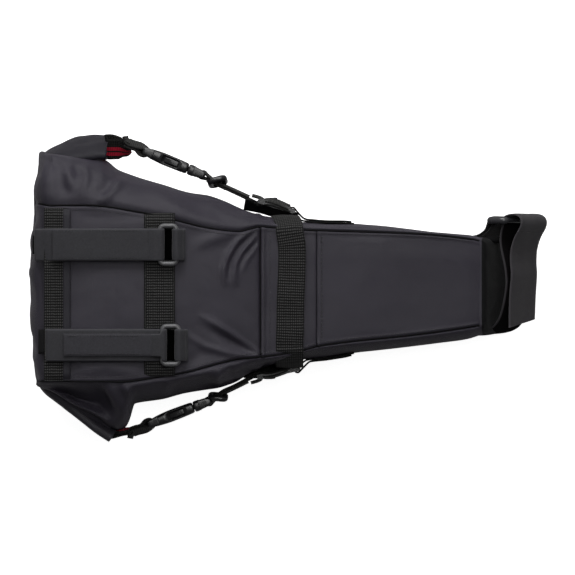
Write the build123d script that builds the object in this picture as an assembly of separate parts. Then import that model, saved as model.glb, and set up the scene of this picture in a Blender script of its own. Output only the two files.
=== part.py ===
from build123d import *
import os
import math

# Tapered bikepacking saddle bag: wide roll-top tail, narrow nose.
# Millimetres.  +X points to the nose (seat post), +Y to the rider's left,
# +Z up to the saddle rails.  Origin: plan centre of the bag, on its underside.

os.makedirs("parts", exist_ok=True)

LEFT, RIGHT = 1, -1     # side of the bag, also the sign of Y
SIDE_NAMES = {LEFT: "left", RIGHT: "right"}

# ---------------------------------------------------------------- shared dimensions
FABRIC = 2.0            # coated fabric with its lining, as a panel
WEBBING = 1.6           # woven webbing thickness
SIDE_WEBBING = 1.3      # thinner webbing of the side straps and anchors
TAPE = 1.5              # hook-and-loop tape thickness
HOOK_PATCH = 0.8        # hook patch thickness
RING_LOOP = 1.2         # thickness of the loops that anchor the rings
RAIL_STRAP_W = 25.0
SIDE_STRAP_W = 20.0
POST_STRAP_W = 38.0
GAP = 0.35              # side panel edges stand off the top and bottom panels
SEAM_GAP = 0.2          # each top panel stops this far short of its seam
WRAP_GAP = 0.3          # clear space between a bar and the tape turned round it
RING_LOOP_OFFSET = 1.0  # loop centreline beyond the surface of the ring wire

TAIL_EDGE = -198.0      # rear edge of the top panel, over the roll
TAIL_X = -175.0         # rear edge of the side panels
SEAM_YOKE = -20.5       # seam between tail panel and yoke
SEAM_NOSE = 22.5        # seam between yoke and nose
NOSE_X = 150.0          # where the nose starts to round over
NOSE_TIP = 167.0
HARDWARE_Z = 64.0       # height of the side straps and buckles

# ---------------------------------------------------------------- outline tables
# Every outline is resampled at these X stations, so neighbouring edges follow the same line.
STATIONS = [-198, -185, -175, -165, -150, -126, -107, -86, -69, -50, -37, -20.5,
            22.5, 43, 94, 140, 150]


def lookup(table, x):
    """Linear interpolation in a table of (X, value), held constant beyond its ends."""
    if x <= table[0][0]:
        return table[0][1]
    for (x0, v0), (x1, v1) in zip(table, table[1:]):
        if x <= x1:
            return v0 + (v1 - v0) * (x - x0) / (x1 - x0)
    return table[-1][1]


def resample(table):
    return [(x, lookup(table, x)) for x in STATIONS]


# (X, Z) of the top surface
TOP = resample([
    (-198, 104.0), (-185, 111.0), (-150, 116.0), (-100, 117.0), (-60, 113.5), (-20.5, 105.0),
    (22.5, 98.0), (90, 87.0), (140, 76.0), (152, 70.0)])
# (X, distance from the centre plane) of the top seams
SEAM = {
    LEFT: resample([
        (-198, 61.0), (-155, 62.5), (-104, 57.7), (-86, 53.8), (-37, 46.0), (-20.5, 46.0),
        (22.5, 44.5), (103, 42.0), (152, 35.0)]),
    RIGHT: resample([
        (-198, 70.0), (-175, 71.5), (-150, 73.0), (-126, 73.0), (-86, 67.0), (-25, 54.6),
        (-20.5, 52.5), (22.5, 46.0), (103, 37.5), (152, 31.5)])}
# (X, distance from the centre plane) of the widest line of the side walls
BULGE = {
    LEFT: resample([
        (-190, 78.0), (-165, 88.0), (-126, 87.5), (-107, 82.5), (-88, 76.0), (-69, 72.0),
        (-51, 65.5), (-20.5, 55.0), (22.5, 50.0), (43, 49.5), (94, 45.5), (152, 39.0)]),
    RIGHT: resample([
        (-175, 74.5), (-165, 81.0), (-150, 86.0), (-126, 88.5), (-107, 88.0), (-86, 84.0),
        (-69, 79.5), (-50, 74.5), (-20.5, 59.0), (22.5, 53.5), (43, 52.5), (94, 46.0),
        (152, 37.5)])}


def top_z(x):
    return lookup(TOP, x)


def seam_y(x, side):
    return lookup(SEAM[side], x)


def wall_y(x, side):
    """Half width at the bulge, always a little outside the top seam."""
    return max(lookup(BULGE[side], x), seam_y(x, side) + 2.5)


def base_y(x, side):
    return wall_y(x, side) * 0.80


def stations(start, end):
    return [start] + [x for x in STATIONS if start + 0.5 < x < end - 0.5] + [end]


# ---------------------------------------------------------------- helpers
def save(shape, name):
    export_step(shape, "parts/" + name + ".step")


def loft_rings(rings):
    """Ruled loft through (X, [(Y, Z), ...]) rings."""
    wires = [Wire.make_polygon([Vector(x, y, z) for y, z in ring], close=True)
             for x, ring in rings]
    return Solid.make_loft(wires, ruled=True)


def loft_along(xs, section):
    return loft_rings([(x, section(x)) for x in xs])


def slab(y_right, y_left, z_first, z_second):
    """Rectangular section between two half widths and two heights."""
    return [(-y_right, z_first), (y_left, z_first), (y_left, z_second), (-y_right, z_second)]


def plate(points, plane, amount, both=False):
    """Polygon in a plane, extruded along its normal."""
    with BuildPart() as part:
        with BuildSketch(plane):
            with BuildLine():
                Polyline(*points, close=True)
            make_face()
        extrude(amount=amount, both=both)
    return part.part.solid()


def ribbon(path, thickness, plane, width):
    """Flat tape centred on a 2-D path in the plane, with mitred bends."""
    left, right = [], []
    last = len(path) - 1
    for i, (x, y) in enumerate(path):
        before = path[max(i - 1, 0)]
        after = path[min(i + 1, last)]
        if 0 < i < last:
            in_x, in_y = x - before[0], y - before[1]
            out_x, out_y = after[0] - x, after[1] - y
            in_len, out_len = math.hypot(in_x, in_y), math.hypot(out_x, out_y)
            mitre_x = -in_y / in_len - out_y / out_len
            mitre_y = in_x / in_len + out_x / out_len
            # the floor limits the mitre where the path nearly doubles back
            scale = thickness / max(mitre_x * mitre_x + mitre_y * mitre_y, 0.3)
            off_x, off_y = mitre_x * scale, mitre_y * scale
        else:
            dx, dy = after[0] - before[0], after[1] - before[1]
            length = math.hypot(dx, dy)
            off_x, off_y = -dy / length * thickness / 2, dx / length * thickness / 2
        left.append((x + off_x, y + off_y))
        right.append((x - off_x, y - off_y))
    return plate(left + right[::-1], plane, width / 2, both=True)


def bend(x, y, radius, angles):
    """Points round a centre, at angles in degrees."""
    return [(x + radius * math.cos(math.radians(a)), y + radius * math.sin(math.radians(a)))
            for a in angles]


def mirrored(path, side):
    return [(x, side * y) for x, y in path]


def xz_plane(y):
    """Local x is X, local y is Z."""
    return Plane(origin=(0, y, 0), x_dir=(1, 0, 0), z_dir=(0, -1, 0))


def box(x0, x1, y0, y1, z0, z1):
    return Solid.make_box(x1 - x0, y1 - y0, z1 - z0, Plane(origin=(x0, y0, z0)))


def wire_ring(plane, length, width, wire):
    """Rectangular wire ring with rounded corners, long side along the plane's x."""
    with BuildPart() as part:
        with BuildSketch(plane):
            RectangleRounded(length, width, width * 0.22)
            RectangleRounded(length - 2 * wire, width - 2 * wire, width * 0.06,
                             mode=Mode.SUBTRACT)
        extrude(amount=wire / 2, both=True)
        # round only the edges lying in the two flat faces
        fillet(part.edges().filter_by(
            lambda e: abs(plane.to_local_coords(e.center()).Z) > wire * 0.45), wire * 0.42)
    return part.part.solid()


def tape_turn(wire):
    """Centreline radius of hook-and-loop tape turned round a wire."""
    return wire / 2 + WRAP_GAP + TAPE / 2


# ---------------------------------------------------------------- fabric shell
SIDE_STATIONS = stations(TAIL_X, NOSE_X)


def top_section(x):
    z = top_z(x)
    return slab(seam_y(x, RIGHT), seam_y(x, LEFT), z, z - FABRIC)


def side_section(x, side):
    """Side panel, from the top seam out over the bulge and down to the base."""
    top, seam, wall, base = top_z(x), seam_y(x, side), wall_y(x, side), base_y(x, side)
    outer = [(seam + GAP, top - GAP),
             (seam + (wall - seam) * 0.72, top - 0.17 * top),
             (wall, 0.52 * top),
             (wall - (wall - base) * 0.35, 0.18 * top),
             (base + GAP, GAP)]
    inner = [(outer[0][0], outer[0][1] - 1.6 * FABRIC)]
    for i in (1, 2, 3):
        dy = outer[i + 1][0] - outer[i - 1][0]
        dz = outer[i + 1][1] - outer[i - 1][1]
        length = math.hypot(dy, dz)
        inner.append((outer[i][0] + dz / length * FABRIC, outer[i][1] - dy / length * FABRIC))
    inner.append((outer[4][0], outer[4][1] + 1.6 * FABRIC))
    return [(side * y, z) for y, z in outer + inner[::-1]]


def make_panels():
    for name, start, end in (("top_panel", TAIL_EDGE, SEAM_YOKE - SEAM_GAP),
                             ("yoke_panel", SEAM_YOKE + SEAM_GAP, SEAM_NOSE - SEAM_GAP),
                             ("nose_panel", SEAM_NOSE + SEAM_GAP, NOSE_X)):
        save(loft_along(stations(start, end), top_section), name)
    for side, name in SIDE_NAMES.items():
        save(loft_along(SIDE_STATIONS, lambda x: side_section(x, side)), "side_panel_" + name)
    outline = [(x, base_y(x, LEFT)) for x in SIDE_STATIONS]
    outline += [(x, -base_y(x, RIGHT)) for x in reversed(SIDE_STATIONS)]
    save(plate(outline, Plane.XY, FABRIC), "bottom_panel")


def base_stiffener():
    """Plastic sheet laid on the bottom panel inside."""
    inset = 9
    return loft_along(stations(-160, 135), lambda x: slab(
        base_y(x, RIGHT) - inset, base_y(x, LEFT) - inset, 2.6, 4.4))


def nose_stiffener():
    """Plastic sheet under the nose panel."""
    inset = 5
    return loft_along(stations(30, 140), lambda x: slab(
        seam_y(x, RIGHT) - inset, seam_y(x, LEFT) - inset, top_z(x) - 2.6, top_z(x) - 4.2))


# nose cup rims: top Z, bottom Z, left half width, right half width
CUP_OPENING = (68.5, 2.5, 38.5, 37.0)
CUP_TIP = (47.0, 9.0, 31.0, 30.0)


def cup_ring(rim, inset):
    """Rectangle with cut corners, shrunk by the inset."""
    top, bottom, left, right = rim
    return [(-right + inset + 4, bottom + inset), (left - inset - 4, bottom + inset),
            (left - inset, bottom + 10 + inset / 2), (left - inset, top - 12),
            (left - 5 - inset, top - inset), (-right + 5 + inset, top - inset),
            (-right + inset, top - 12), (-right + inset, bottom + 10 + inset / 2)]


def nose_end():
    """Cup that closes the narrow end and rounds it over."""
    outside = loft_rings([(NOSE_X + 0.4, cup_ring(CUP_OPENING, 0)),
                          (NOSE_TIP, cup_ring(CUP_TIP, 0))])
    # the hollow starts behind the opening so that it cuts right through
    hollow = loft_rings([(NOSE_X - 0.6, cup_ring(CUP_OPENING, FABRIC)),
                         (NOSE_TIP - FABRIC, cup_ring(CUP_TIP, FABRIC))])
    return (outside - hollow).solid()


def mouth_sleeve():
    """Closed rear wall between the side panels and the roll."""
    return loft_rings([(TAIL_X - 3.0, [(-58, 14), (62, 14), (64, 100), (-62, 100)]),
                       (TAIL_X - 0.8, [(-60, 9), (65, 9), (66, 104), (-66, 104)])])


make_panels()
save(base_stiffener(), "base_stiffener")
save(nose_stiffener(), "nose_stiffener")
save(nose_end(), "nose_end_panel")
save(mouth_sleeve(), "mouth_sleeve")

# ---------------------------------------------------------------- roll-top closure
ROLL_HEIGHT = 46.0      # flat width of the rolled strip
ROLL_THICKNESS = 12.0
ROLL_PLANE = Plane.XY.offset(62.0)
# (X, Y) centreline of the roll, from its left end round the tail to its right end
ROLL = [(-142.0, 109.5), (-162.0, 108.5), (-181.5, 103.0), (-190.0, 93.0), (-193.6, 70.0),
        (-195.0, 35.0), (-195.5, 0.0), (-195.0, -35.0), (-193.0, -62.0), (-189.5, -73.0),
        (-182.0, -80.5), (-141.0, -107.5)]


def closure_roll():
    """Flattened roll with a slot in its core for the stiffener strip."""
    outside = ribbon(ROLL, ROLL_THICKNESS, ROLL_PLANE, ROLL_HEIGHT)
    slot = ribbon(ROLL[3:10], 2.4, ROLL_PLANE, 21.0)
    return (outside - slot).solid()


def closure_stiffener():
    path = [(-190.4, 90.5)] + ROLL[4:9] + [(-190.0, -71.5)]
    return ribbon(path, 1.2, ROLL_PLANE, 20.0)


save(closure_roll(), "closure_roll")
save(closure_stiffener(), "closure_stiffener")


# ---------------------------------------------------------------- webbing across the top
def cross_webbing(x0, x1, left, right):
    """Webbing lying across the top, following the slope of the panel below."""
    path = [(x, top_z(x) + 0.3 + WEBBING / 2) for x in stations(x0, x1)]
    return ribbon(path, WEBBING, xz_plane((left - right) / 2), left + right)


def compression_webbing():
    """Strip over the yoke, turned down over both sides."""
    x0, x1 = -8.0, 13.5
    middle = (x0 + x1) / 2
    top = top_z(middle)
    path = [(57.0, 80.0), (56.0, 88.0), (50.6, top + 1.4), (47.0, top + 2.9),
            (-50.0, top + 2.9), (-53.8, top + 1.4), (-60.0, 88.0), (-61.0, 80.0)]
    plane = Plane(origin=(middle, 0, 0), x_dir=(0, 1, 0), z_dir=(1, 0, 0))
    return ribbon(path, WEBBING, plane, x1 - x0)


save(cross_webbing(-189.0, -169.5, 62.0, 72.5), "cross_webbing_rear")
save(cross_webbing(-111.5, -86.5, 57.0, 68.5), "cross_webbing_front")
save(compression_webbing(), "compression_webbing")

# ---------------------------------------------------------------- rail straps and their rings
RAIL_WIRE = 3.6
RAIL_RING_L = 33.0      # outside length, across the strap
RAIL_RING_W = 16.4      # outside width, along the strap
RAIL_SEWN_X = -114.0    # front end of the sewn run
SLOPE_X = (-150.0, -185.0)   # where the top surface changes slope
TAB_LIFT = 2.0          # the tab lies this far above the upper run


def make_rail_strap(side, y, ring_x, fold_x, tab_x):
    """Rail strap: sewn run, fold, run to the ring, turn round its rear bar, peelable tab."""
    name = SIDE_NAMES[side]
    plane = xz_plane(y)
    ring_z = top_z(ring_x) + 7.6
    rear_bar = ring_x - (RAIL_RING_W - RAIL_WIRE) / 2
    front_bar = ring_x + (RAIL_RING_W - RAIL_WIRE) / 2
    radius = tape_turn(RAIL_WIRE)
    peel_x = rear_bar - 9.0     # where the tab starts

    def lower(x):
        return top_z(x) + 2.4 + TAPE / 2

    def upper(x):
        return top_z(x) + 4.3 + TAPE / 2

    peel_z = upper(peel_x) + TAB_LIFT
    path = [(x, lower(x)) for x in (RAIL_SEWN_X, *SLOPE_X, fold_x + 1.0)]
    path.append((fold_x - 0.6, (lower(fold_x) + upper(fold_x)) / 2))
    path += [(x, upper(x) + 0.15) for x in (fold_x + 1.0, *SLOPE_X[::-1])]
    path += [(RAIL_SEWN_X, upper(RAIL_SEWN_X) + 0.1), (rear_bar - 4.0, ring_z - radius)]
    path += bend(rear_bar, ring_z, radius, [22.5 * i for i in range(-4, 5)])
    path += [(rear_bar - 3.0, ring_z + radius), (peel_x + 0.9, peel_z)]
    save(ribbon(path, TAPE, plane, RAIL_STRAP_W), "rail_strap_" + name)

    tab = [(x, upper(x) + TAB_LIFT) for x in (peel_x, RAIL_SEWN_X, SLOPE_X[0], tab_x)]
    save(ribbon(tab, TAPE, plane, RAIL_STRAP_W), "rail_strap_tab_" + name)

    # hook patch on top of the tab's free end, bent where it crosses the change of slope
    start, end = tab_x + 8.0, tab_x + 30.0
    patch_xs = [start] + [x for x in SLOPE_X if start < x < end] + [end]
    patch = [(x, upper(x) + TAB_LIFT + TAPE / 2 + 0.55) for x in patch_xs]
    save(ribbon(patch, HOOK_PATCH, plane, RAIL_STRAP_W - 6.0), "rail_hook_patch_" + name)

    ring_plane = Plane(origin=(ring_x, y, ring_z), x_dir=(0, 1, 0), z_dir=(0, 0, 1))
    save(wire_ring(ring_plane, RAIL_RING_L, RAIL_RING_W, RAIL_WIRE), "rail_ring_" + name)

    # webbing loop turned round the front bar and sewn ahead of it
    sewn_z = top_z(front_bar + 4) + 3.0
    loop = [(front_bar + 11.0, sewn_z - 1.0), (front_bar + 4.0, sewn_z + 0.2)]
    loop += bend(front_bar, ring_z, RAIL_WIRE / 2 + RING_LOOP_OFFSET, range(285, 74, -21))
    loop += [(front_bar + 5.0, ring_z - 0.6), (front_bar + 11.0, sewn_z + 0.9)]
    save(ribbon(loop, RING_LOOP, plane, 21.0), "rail_ring_loop_" + name)


make_rail_strap(LEFT, y=33.2, ring_x=-92.4, fold_x=-195.0, tab_x=-182.0)
make_rail_strap(RIGHT, y=-44.6, ring_x=-90.5, fold_x=-189.0, tab_x=-173.5)

# ---------------------------------------------------------------- side-release buckles
# Local frame: x runs forward from the rear end of the socket, y is the thickness,
# z the width, which stands vertical on the bag.
BUCKLE_W, BUCKLE_T = 24.0, 8.8
SOCKET_L = 37.0
PRONG_START, PRONG_END = 37.6, 51.5     # base of the prong half
PRONG_BAR = 3.0         # strap bar at the front end of the prong half
SLOT_HALF = 10.3        # half height of the webbing slots
# (x, z) outline of the upper squeeze arm: a spring leg with a catch pad in the window
ARM = [(37.3, 5.8), (37.3, 8.6), (30.8, 9.0), (29.0, 11.4), (22.0, 11.6), (17.0, 9.2),
       (16.4, 7.6), (22.0, 6.6), (30.0, 6.0)]


def place(shape, x, y, angle):
    return shape.moved(Location((x, y, HARDWARE_Z), (0, 0, angle)))


def hardware_plane(x, y, angle):
    """The plane that matches place()."""
    turn = math.radians(angle)
    return Plane(origin=(x, y, HARDWARE_Z), x_dir=(math.cos(turn), math.sin(turn), 0),
                 z_dir=(0, 0, 1))


def rounded_bar(x0, x1, thickness, width, radius):
    with BuildPart() as part:
        Box(x1 - x0, thickness, width)
        fillet(part.edges().filter_by(Axis.X), radius)
    return part.part.solid().moved(Location(((x0 + x1) / 2, 0, 0)))


def buckle_socket():
    """Body with webbing slot, prong cavity and two side windows."""
    body = rounded_bar(0.0, SOCKET_L, BUCKLE_T, BUCKLE_W, 2.6)
    body = body - box(2.6, 7.6, -6, 6, -SLOT_HALF, SLOT_HALF)
    body = body - box(11.0, SOCKET_L + 1, -2.7, 2.7, -9.9, 9.9)
    body = body - box(15.0, 30.2, -2.7, 2.7, -13, 13)
    return body.solid()


def buckle_prong_half():
    """Base with strap bar and centre guide."""
    body = rounded_bar(PRONG_START, PRONG_END, BUCKLE_T, BUCKLE_W, 2.4)
    body = body - box(PRONG_END - 8.6, PRONG_END - PRONG_BAR, -6, 6, -SLOT_HALF, SLOT_HALF)
    body = body.solid() + box(20.0, PRONG_START + 1.0, -2.1, 2.1, -2.3, 2.3)
    return body.solid()


def triglide(x):
    """Frame with a centre bar at x along the strap."""
    frame = rounded_bar(x - 7.2, x + 7.2, 1.8, 27.0, 0.8)
    frame = frame - box(x - 5.4, x - 0.9, -3, 3, -10.8, 10.8)
    frame = frame - box(x + 0.9, x + 5.4, -3, 3, -10.8, 10.8)
    return frame.solid()


LADDER_T = 1.9          # half thickness of the ladder lock
LADDER_TOP = 13.6       # half height over the rails
LADDER_BAR_TOP = 11.5   # half height of the near and middle bars
NEAR_BAR_R = 1.3
ANCHOR_BAR_R = 2.0


def ladder_lock(length):
    """Two rails joined by a round near bar, a flat middle bar and a round anchor bar."""
    lock = (box(-NEAR_BAR_R, length, -LADDER_T, LADDER_T, 10.8, LADDER_TOP)
            + box(-NEAR_BAR_R, length, -LADDER_T, LADDER_T, -LADDER_TOP, -10.8))
    middle = length * 0.42
    lock = lock + Solid.make_cylinder(NEAR_BAR_R, 2 * LADDER_BAR_TOP,
                                      Plane(origin=(0, 0, -LADDER_BAR_TOP)))
    lock = lock + box(middle, middle + 5.0, -LADDER_T, LADDER_T,
                      -LADDER_BAR_TOP, LADDER_BAR_TOP)
    lock = lock + Solid.make_cylinder(ANCHOR_BAR_R, 2 * LADDER_TOP,
                                      Plane(origin=(length, 0, -LADDER_TOP)))
    return lock.solid()


# ---------------------------------------------------------------- side straps
# Paths are written for the left side and mirrored for the right one.
# Webbing loop through the socket slot, in the buckle's frame
BUCKLE_LOOP = [(-15.0, 0.9), (-8.0, 3.2), (-2.0, 5.7), (2.2, 5.7), (5.1, 4.3), (5.3, 0.0),
               (5.1, -4.3), (2.2, -5.7), (-2.0, -5.4), (-8.0, -3.0), (-15.6, -1.3)]


def side_strap_path(glide, length):
    """Round the prong half's bar, through the tri-glide, round the ladder lock's near bar."""
    reach = 5.6         # half width of the loop round the prong half's bar
    turn = 2.3          # centreline radius round the near bar
    path = [(5.6, reach * 0.70), (2.0, reach), (-2.6, reach * 0.98), (-4.0, 0.0),
            (-2.6, -reach * 0.98), (2.4, -reach), (5.4, -3.4)]
    path += [(glide - 6.4, -2.6), (glide - 4.9, -2.1), (glide - 1.4, 2.1), (glide, 2.6),
             (glide + 1.4, 2.1), (glide + 4.9, -2.1), (glide + 6.4, -2.6)]
    path += [(glide + 11.0, -turn), (length - 3.0, -turn)]
    path += bend(length, 0, turn, range(-80, 81, 40))
    return path + [(length - 4.0, turn), (length - 9.0, 1.6)]


def side_anchor_path(side, bar_x, bar_y):
    """Along the side wall, round the anchor bar and back on the outside."""
    def off_wall(x, lift):
        return (x, lookup(BULGE[side], x) + 0.9 + lift)

    radius = ANCHOR_BAR_R + WRAP_GAP + SIDE_WEBBING / 2
    path = [off_wall(48.0, 0.4), off_wall(22.5, 0.6), off_wall(bar_x + 6.0, 0.4)]
    path += bend(bar_x, bar_y, radius, (-62, -95, -130, -165, -200, -235, -270, -300))
    return path + [off_wall(bar_x + 8.5, 2.3), off_wall(30.0, 2.1), off_wall(46.0, 1.95)]


def span(start, end):
    """Distance and direction in degrees between two plan points."""
    dx, dy = end[0] - start[0], end[1] - start[1]
    return math.hypot(dx, dy), math.degrees(math.atan2(dy, dx))


def make_side_strap(side, buckle, near_bar, anchor_bar, glide, roll_end):
    """buckle is (X, Y, angle); the bars and roll end are (X, Y); glide is along the strap."""
    name = SIDE_NAMES[side]
    save(place(buckle_socket(), *buckle), "buckle_female_" + name)
    save(place(buckle_prong_half(), *buckle), "buckle_male_" + name)
    for level, sign in (("upper", 1), ("lower", -1)):
        arm = plate(mirrored(ARM, sign), xz_plane(0), 2.1, both=True)
        save(place(arm, *buckle), "buckle_arm_%s_%s" % (level, name))
    plane = hardware_plane(*buckle)
    save(ribbon(mirrored(BUCKLE_LOOP, side), WEBBING, plane, SIDE_STRAP_W),
         "buckle_loop_" + name)

    # closure tab: from the end of the roll to the loop
    tab_end = plane.from_local_coords(Vector(-17.6, -side * 0.2, 0))
    along = Vector(tab_end.X - roll_end[0], tab_end.Y - roll_end[1], 0).normalized()
    tab_start = (roll_end[0] + along.X * 2.0, roll_end[1] + along.Y * 2.0)
    save(ribbon([tab_start, (tab_end.X, tab_end.Y)], 3.4, Plane.XY.offset(HARDWARE_Z),
                SIDE_STRAP_W), "closure_tab_" + name)

    bar = plane.from_local_coords(Vector(PRONG_END - PRONG_BAR / 2, 0, 0))
    length, angle = span((bar.X, bar.Y), near_bar)
    save(ribbon(mirrored(side_strap_path(glide, length), side), SIDE_WEBBING,
                hardware_plane(bar.X, bar.Y, angle), SIDE_STRAP_W), "side_strap_" + name)
    save(place(triglide(glide), bar.X, bar.Y, angle), "triglide_" + name)

    length, angle = span(near_bar, anchor_bar)
    save(place(ladder_lock(length), *near_bar, angle), "ladder_lock_" + name)
    path = side_anchor_path(side, anchor_bar[0], side * anchor_bar[1])
    save(ribbon(mirrored(path, side), SIDE_WEBBING, Plane.XY.offset(HARDWARE_Z),
                SIDE_STRAP_W), "side_anchor_" + name)


make_side_strap(LEFT, buckle=(-112.3, 106.9, -22.3), near_bar=(-21.5, 67.5),
                anchor_bar=(4.2, 59.6), glide=15.5, roll_end=ROLL[0])
make_side_strap(RIGHT, buckle=(-108.2, -106.9, 21.0), near_bar=(-22.5, -70.0),
                anchor_bar=(8.0, -63.4), glide=13.5, roll_end=ROLL[-1])

# ---------------------------------------------------------------- seat post strap
RAKE = math.radians(34.0)       # the strap's face leans with the seat post
POST_AXIS = (-math.sin(RAKE), 0, math.cos(RAKE))
# local x is Y, local y points towards the bag
POST_PLANE = Plane(origin=(182.0, 0.0, 45.0), x_dir=(0, 1, 0), z_dir=POST_AXIS)
POST_RING_L, POST_RING_W, POST_WIRE = 48.0, 18.0, 4.2
BAR_X = 52.5                    # local x of both ring bars
INNER_BAR_Y = POST_RING_W - POST_WIRE   # the outer bar is at local y = 0


def seatpost_strap():
    """Run from the bag's right side to the left, turned round the ring's outer bar."""
    radius = tape_turn(POST_WIRE)
    path = [(-43.2, 34.0), (-43.2, 22.0), (-41.5, 12.0), (-36.0, 5.6), (-28.0, 3.4),
            (-15.0, 2.4), (10.0, 2.6), (30.0, 3.4), (44.0, 3.4), (BAR_X - 2.0, radius + 0.2)]
    path += bend(BAR_X, 0.0, radius, (80, 50, 20, -10, -40, -70, -90))
    path += [(BAR_X - 5.0, -radius), (BAR_X - 9.7, -1.2)]
    return ribbon(path, TAPE, POST_PLANE, POST_STRAP_W)


def seatpost_tab():
    path = [(BAR_X - 10.0, -1.1), (30.0, -0.2), (10.0, -0.4), (-15.0, -0.6), (-33.0, -0.2)]
    return ribbon(path, TAPE, POST_PLANE, POST_STRAP_W)


def seatpost_hook_patch():
    path = [(-30.0, -1.6), (-15.0, -1.95), (-4.0, -1.8)]
    return ribbon(path, HOOK_PATCH, POST_PLANE, POST_STRAP_W - 8.0)


def seatpost_ring():
    centre = POST_PLANE.from_local_coords(Vector(BAR_X, INNER_BAR_Y / 2, 0))
    plane = Plane(origin=(centre.X, centre.Y, centre.Z), x_dir=POST_AXIS, z_dir=(0, 1, 0))
    return wire_ring(plane, POST_RING_L, POST_RING_W, POST_WIRE)


def seatpost_ring_loop():
    """Loop from the bag round the ring's inner bar."""
    path = [(42.4, 34.0), (43.0, 24.0), (BAR_X - 3.6, INNER_BAR_Y + 3.5)]
    path += bend(BAR_X, INNER_BAR_Y, POST_WIRE / 2 + RING_LOOP_OFFSET,
                 (170, 200, 235, 270, 305, 340, 370))
    path += [(BAR_X + 1.0, INNER_BAR_Y + 6.0), (46.6, 25.0), (44.4, 34.0)]
    return ribbon(path, RING_LOOP, POST_PLANE, 34.0)


save(seatpost_strap(), "seatpost_strap")
save(seatpost_tab(), "seatpost_strap_tab")
save(seatpost_hook_patch(), "seatpost_hook_patch")
save(seatpost_ring(), "seatpost_ring")
save(seatpost_ring_loop(), "seatpost_ring_loop")
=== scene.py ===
"""A roll-top saddle bag with its straps, rings, buckles and webbing, laid flat.

The nose points along +X and the rolled tail along -X. Left is +Y, up is +Z and the base rests on
z = 0. Sizes are in millimetres up to the point where meshes are made, unless a comment says metres.
"""

import bmesh
import bpy
import math
import random
from functools import cached_property
from types import SimpleNamespace
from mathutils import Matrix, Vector, noise


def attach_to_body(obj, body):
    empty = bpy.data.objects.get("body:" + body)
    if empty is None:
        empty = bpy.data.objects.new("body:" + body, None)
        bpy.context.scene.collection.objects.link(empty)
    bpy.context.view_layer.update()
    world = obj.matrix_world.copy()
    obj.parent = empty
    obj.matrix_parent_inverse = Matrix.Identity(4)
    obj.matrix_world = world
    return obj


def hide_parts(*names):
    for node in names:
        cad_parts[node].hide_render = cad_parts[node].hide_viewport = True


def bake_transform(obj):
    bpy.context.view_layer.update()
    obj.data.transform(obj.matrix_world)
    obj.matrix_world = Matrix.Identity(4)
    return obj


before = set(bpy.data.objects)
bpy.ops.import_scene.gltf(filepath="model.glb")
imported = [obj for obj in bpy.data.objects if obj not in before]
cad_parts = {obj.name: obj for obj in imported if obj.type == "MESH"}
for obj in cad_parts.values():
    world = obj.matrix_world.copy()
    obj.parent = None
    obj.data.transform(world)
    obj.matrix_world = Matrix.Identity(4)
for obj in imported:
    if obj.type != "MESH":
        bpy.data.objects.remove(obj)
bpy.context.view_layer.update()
random.seed(7)

MM = 0.001
X_AXIS, Y_AXIS, Z_AXIS = Vector((1, 0, 0)), Vector((0, 1, 0)), Vector((0, 0, 1))

# ------------------------------------------------------------------ outlines
# (x, height) of the CAD top, front to rear reversed: tail first
CAD_TOP = [(-198, 104.0), (-185, 111.0), (-150, 116.0), (-100, 117.0), (-60, 113.5),
           (-20.5, 105.0), (22.5, 98.0), (90, 87.0), (140, 76.0), (152, 70.0)]
# the same height read at coarser stations, for placing hardware
HARDWARE_STATIONS = [-198, -185, -175, -165, -150, -126, -107, -86, -69, -50, -37, -20.5, 22.5,
                     43, 94, 140, 150]
# (x, height) of the sewn top
TOP = [(-198, 106.0)] + CAD_TOP[1:-1] + [(152, 71.5)]
# (x, y) of the seams between the top and the walls, in plan
SEAM_LEFT = [
    (-202.02, 63.96), (-196.56, 63.57), (-155.22, 63.96), (-114.66, 58.656), (-85.02, 52.104),
    (-63.18, 46.8), (-38.22, 43.68), (-28.86, 45.63), (-21.84, 47.58), (-14.82, 47.19),
    (8.58, 45.24), (33.54, 44.46), (102.96, 42.12), (146.64, 37.44), (153.66, 35.1)]
SEAM_RIGHT = [
    (-202.02, -72.54), (-196.56, -72.54), (-169.26, -73.71), (-130.26, -73.32),
    (-106.86, -70.59), (-83.46, -67.08), (-52.26, -58.89), (-33.54, -54.99), (-17.94, -53.82),
    (8.58, -49.92), (26.52, -45.24), (102.96, -36.66), (146.64, -30.42), (153.66, -28.86)]
# (x, y) of the widest line of each wall, in plan
WALL_LEFT = [
    (-200.46, 105.3), (-194.22, 105.3), (-177.06, 102.96), (-159.9, 101.79), (-143.52, 99.84),
    (-139.62, 97.11), (-134.94, 92.664), (-130.26, 90.012), (-125.58, 88.14), (-116.22, 85.02),
    (-106.86, 82.68), (-88.14, 76.44), (-69.42, 72.15), (-60.06, 69.81), (-46.02, 64.74),
    (-31.98, 59.28), (-19.5, 56.16), (10.14, 51.87), (33.54, 50.31), (47.58, 50.31),
    (66.3, 49.14), (94.38, 46.02), (117.78, 43.29), (142.74, 41.34), (153.66, 38.22)]
WALL_RIGHT = [
    (-200.46, -72.54), (-194.22, -74.1), (-187.98, -77.22), (-177.06, -82.68), (-161.46, -92.43),
    (-145.86, -102.57), (-138.06, -108.42), (-131.82, -111.15), (-127.14, -109.2),
    (-124.02, -102.18), (-121.29, -91.26), (-106.86, -88.92), (-97.5, -87.36), (-88.14, -85.02),
    (-78.78, -82.68), (-69.42, -80.34), (-60.06, -78.0), (-46.02, -74.88), (-31.98, -67.86),
    (-19.5, -62.01), (10.14, -56.55), (33.54, -54.6), (52.26, -51.48), (66.3, -49.92),
    (94.38, -46.8), (117.78, -44.07), (141.18, -40.56), (153.66, -36.66)]


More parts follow.
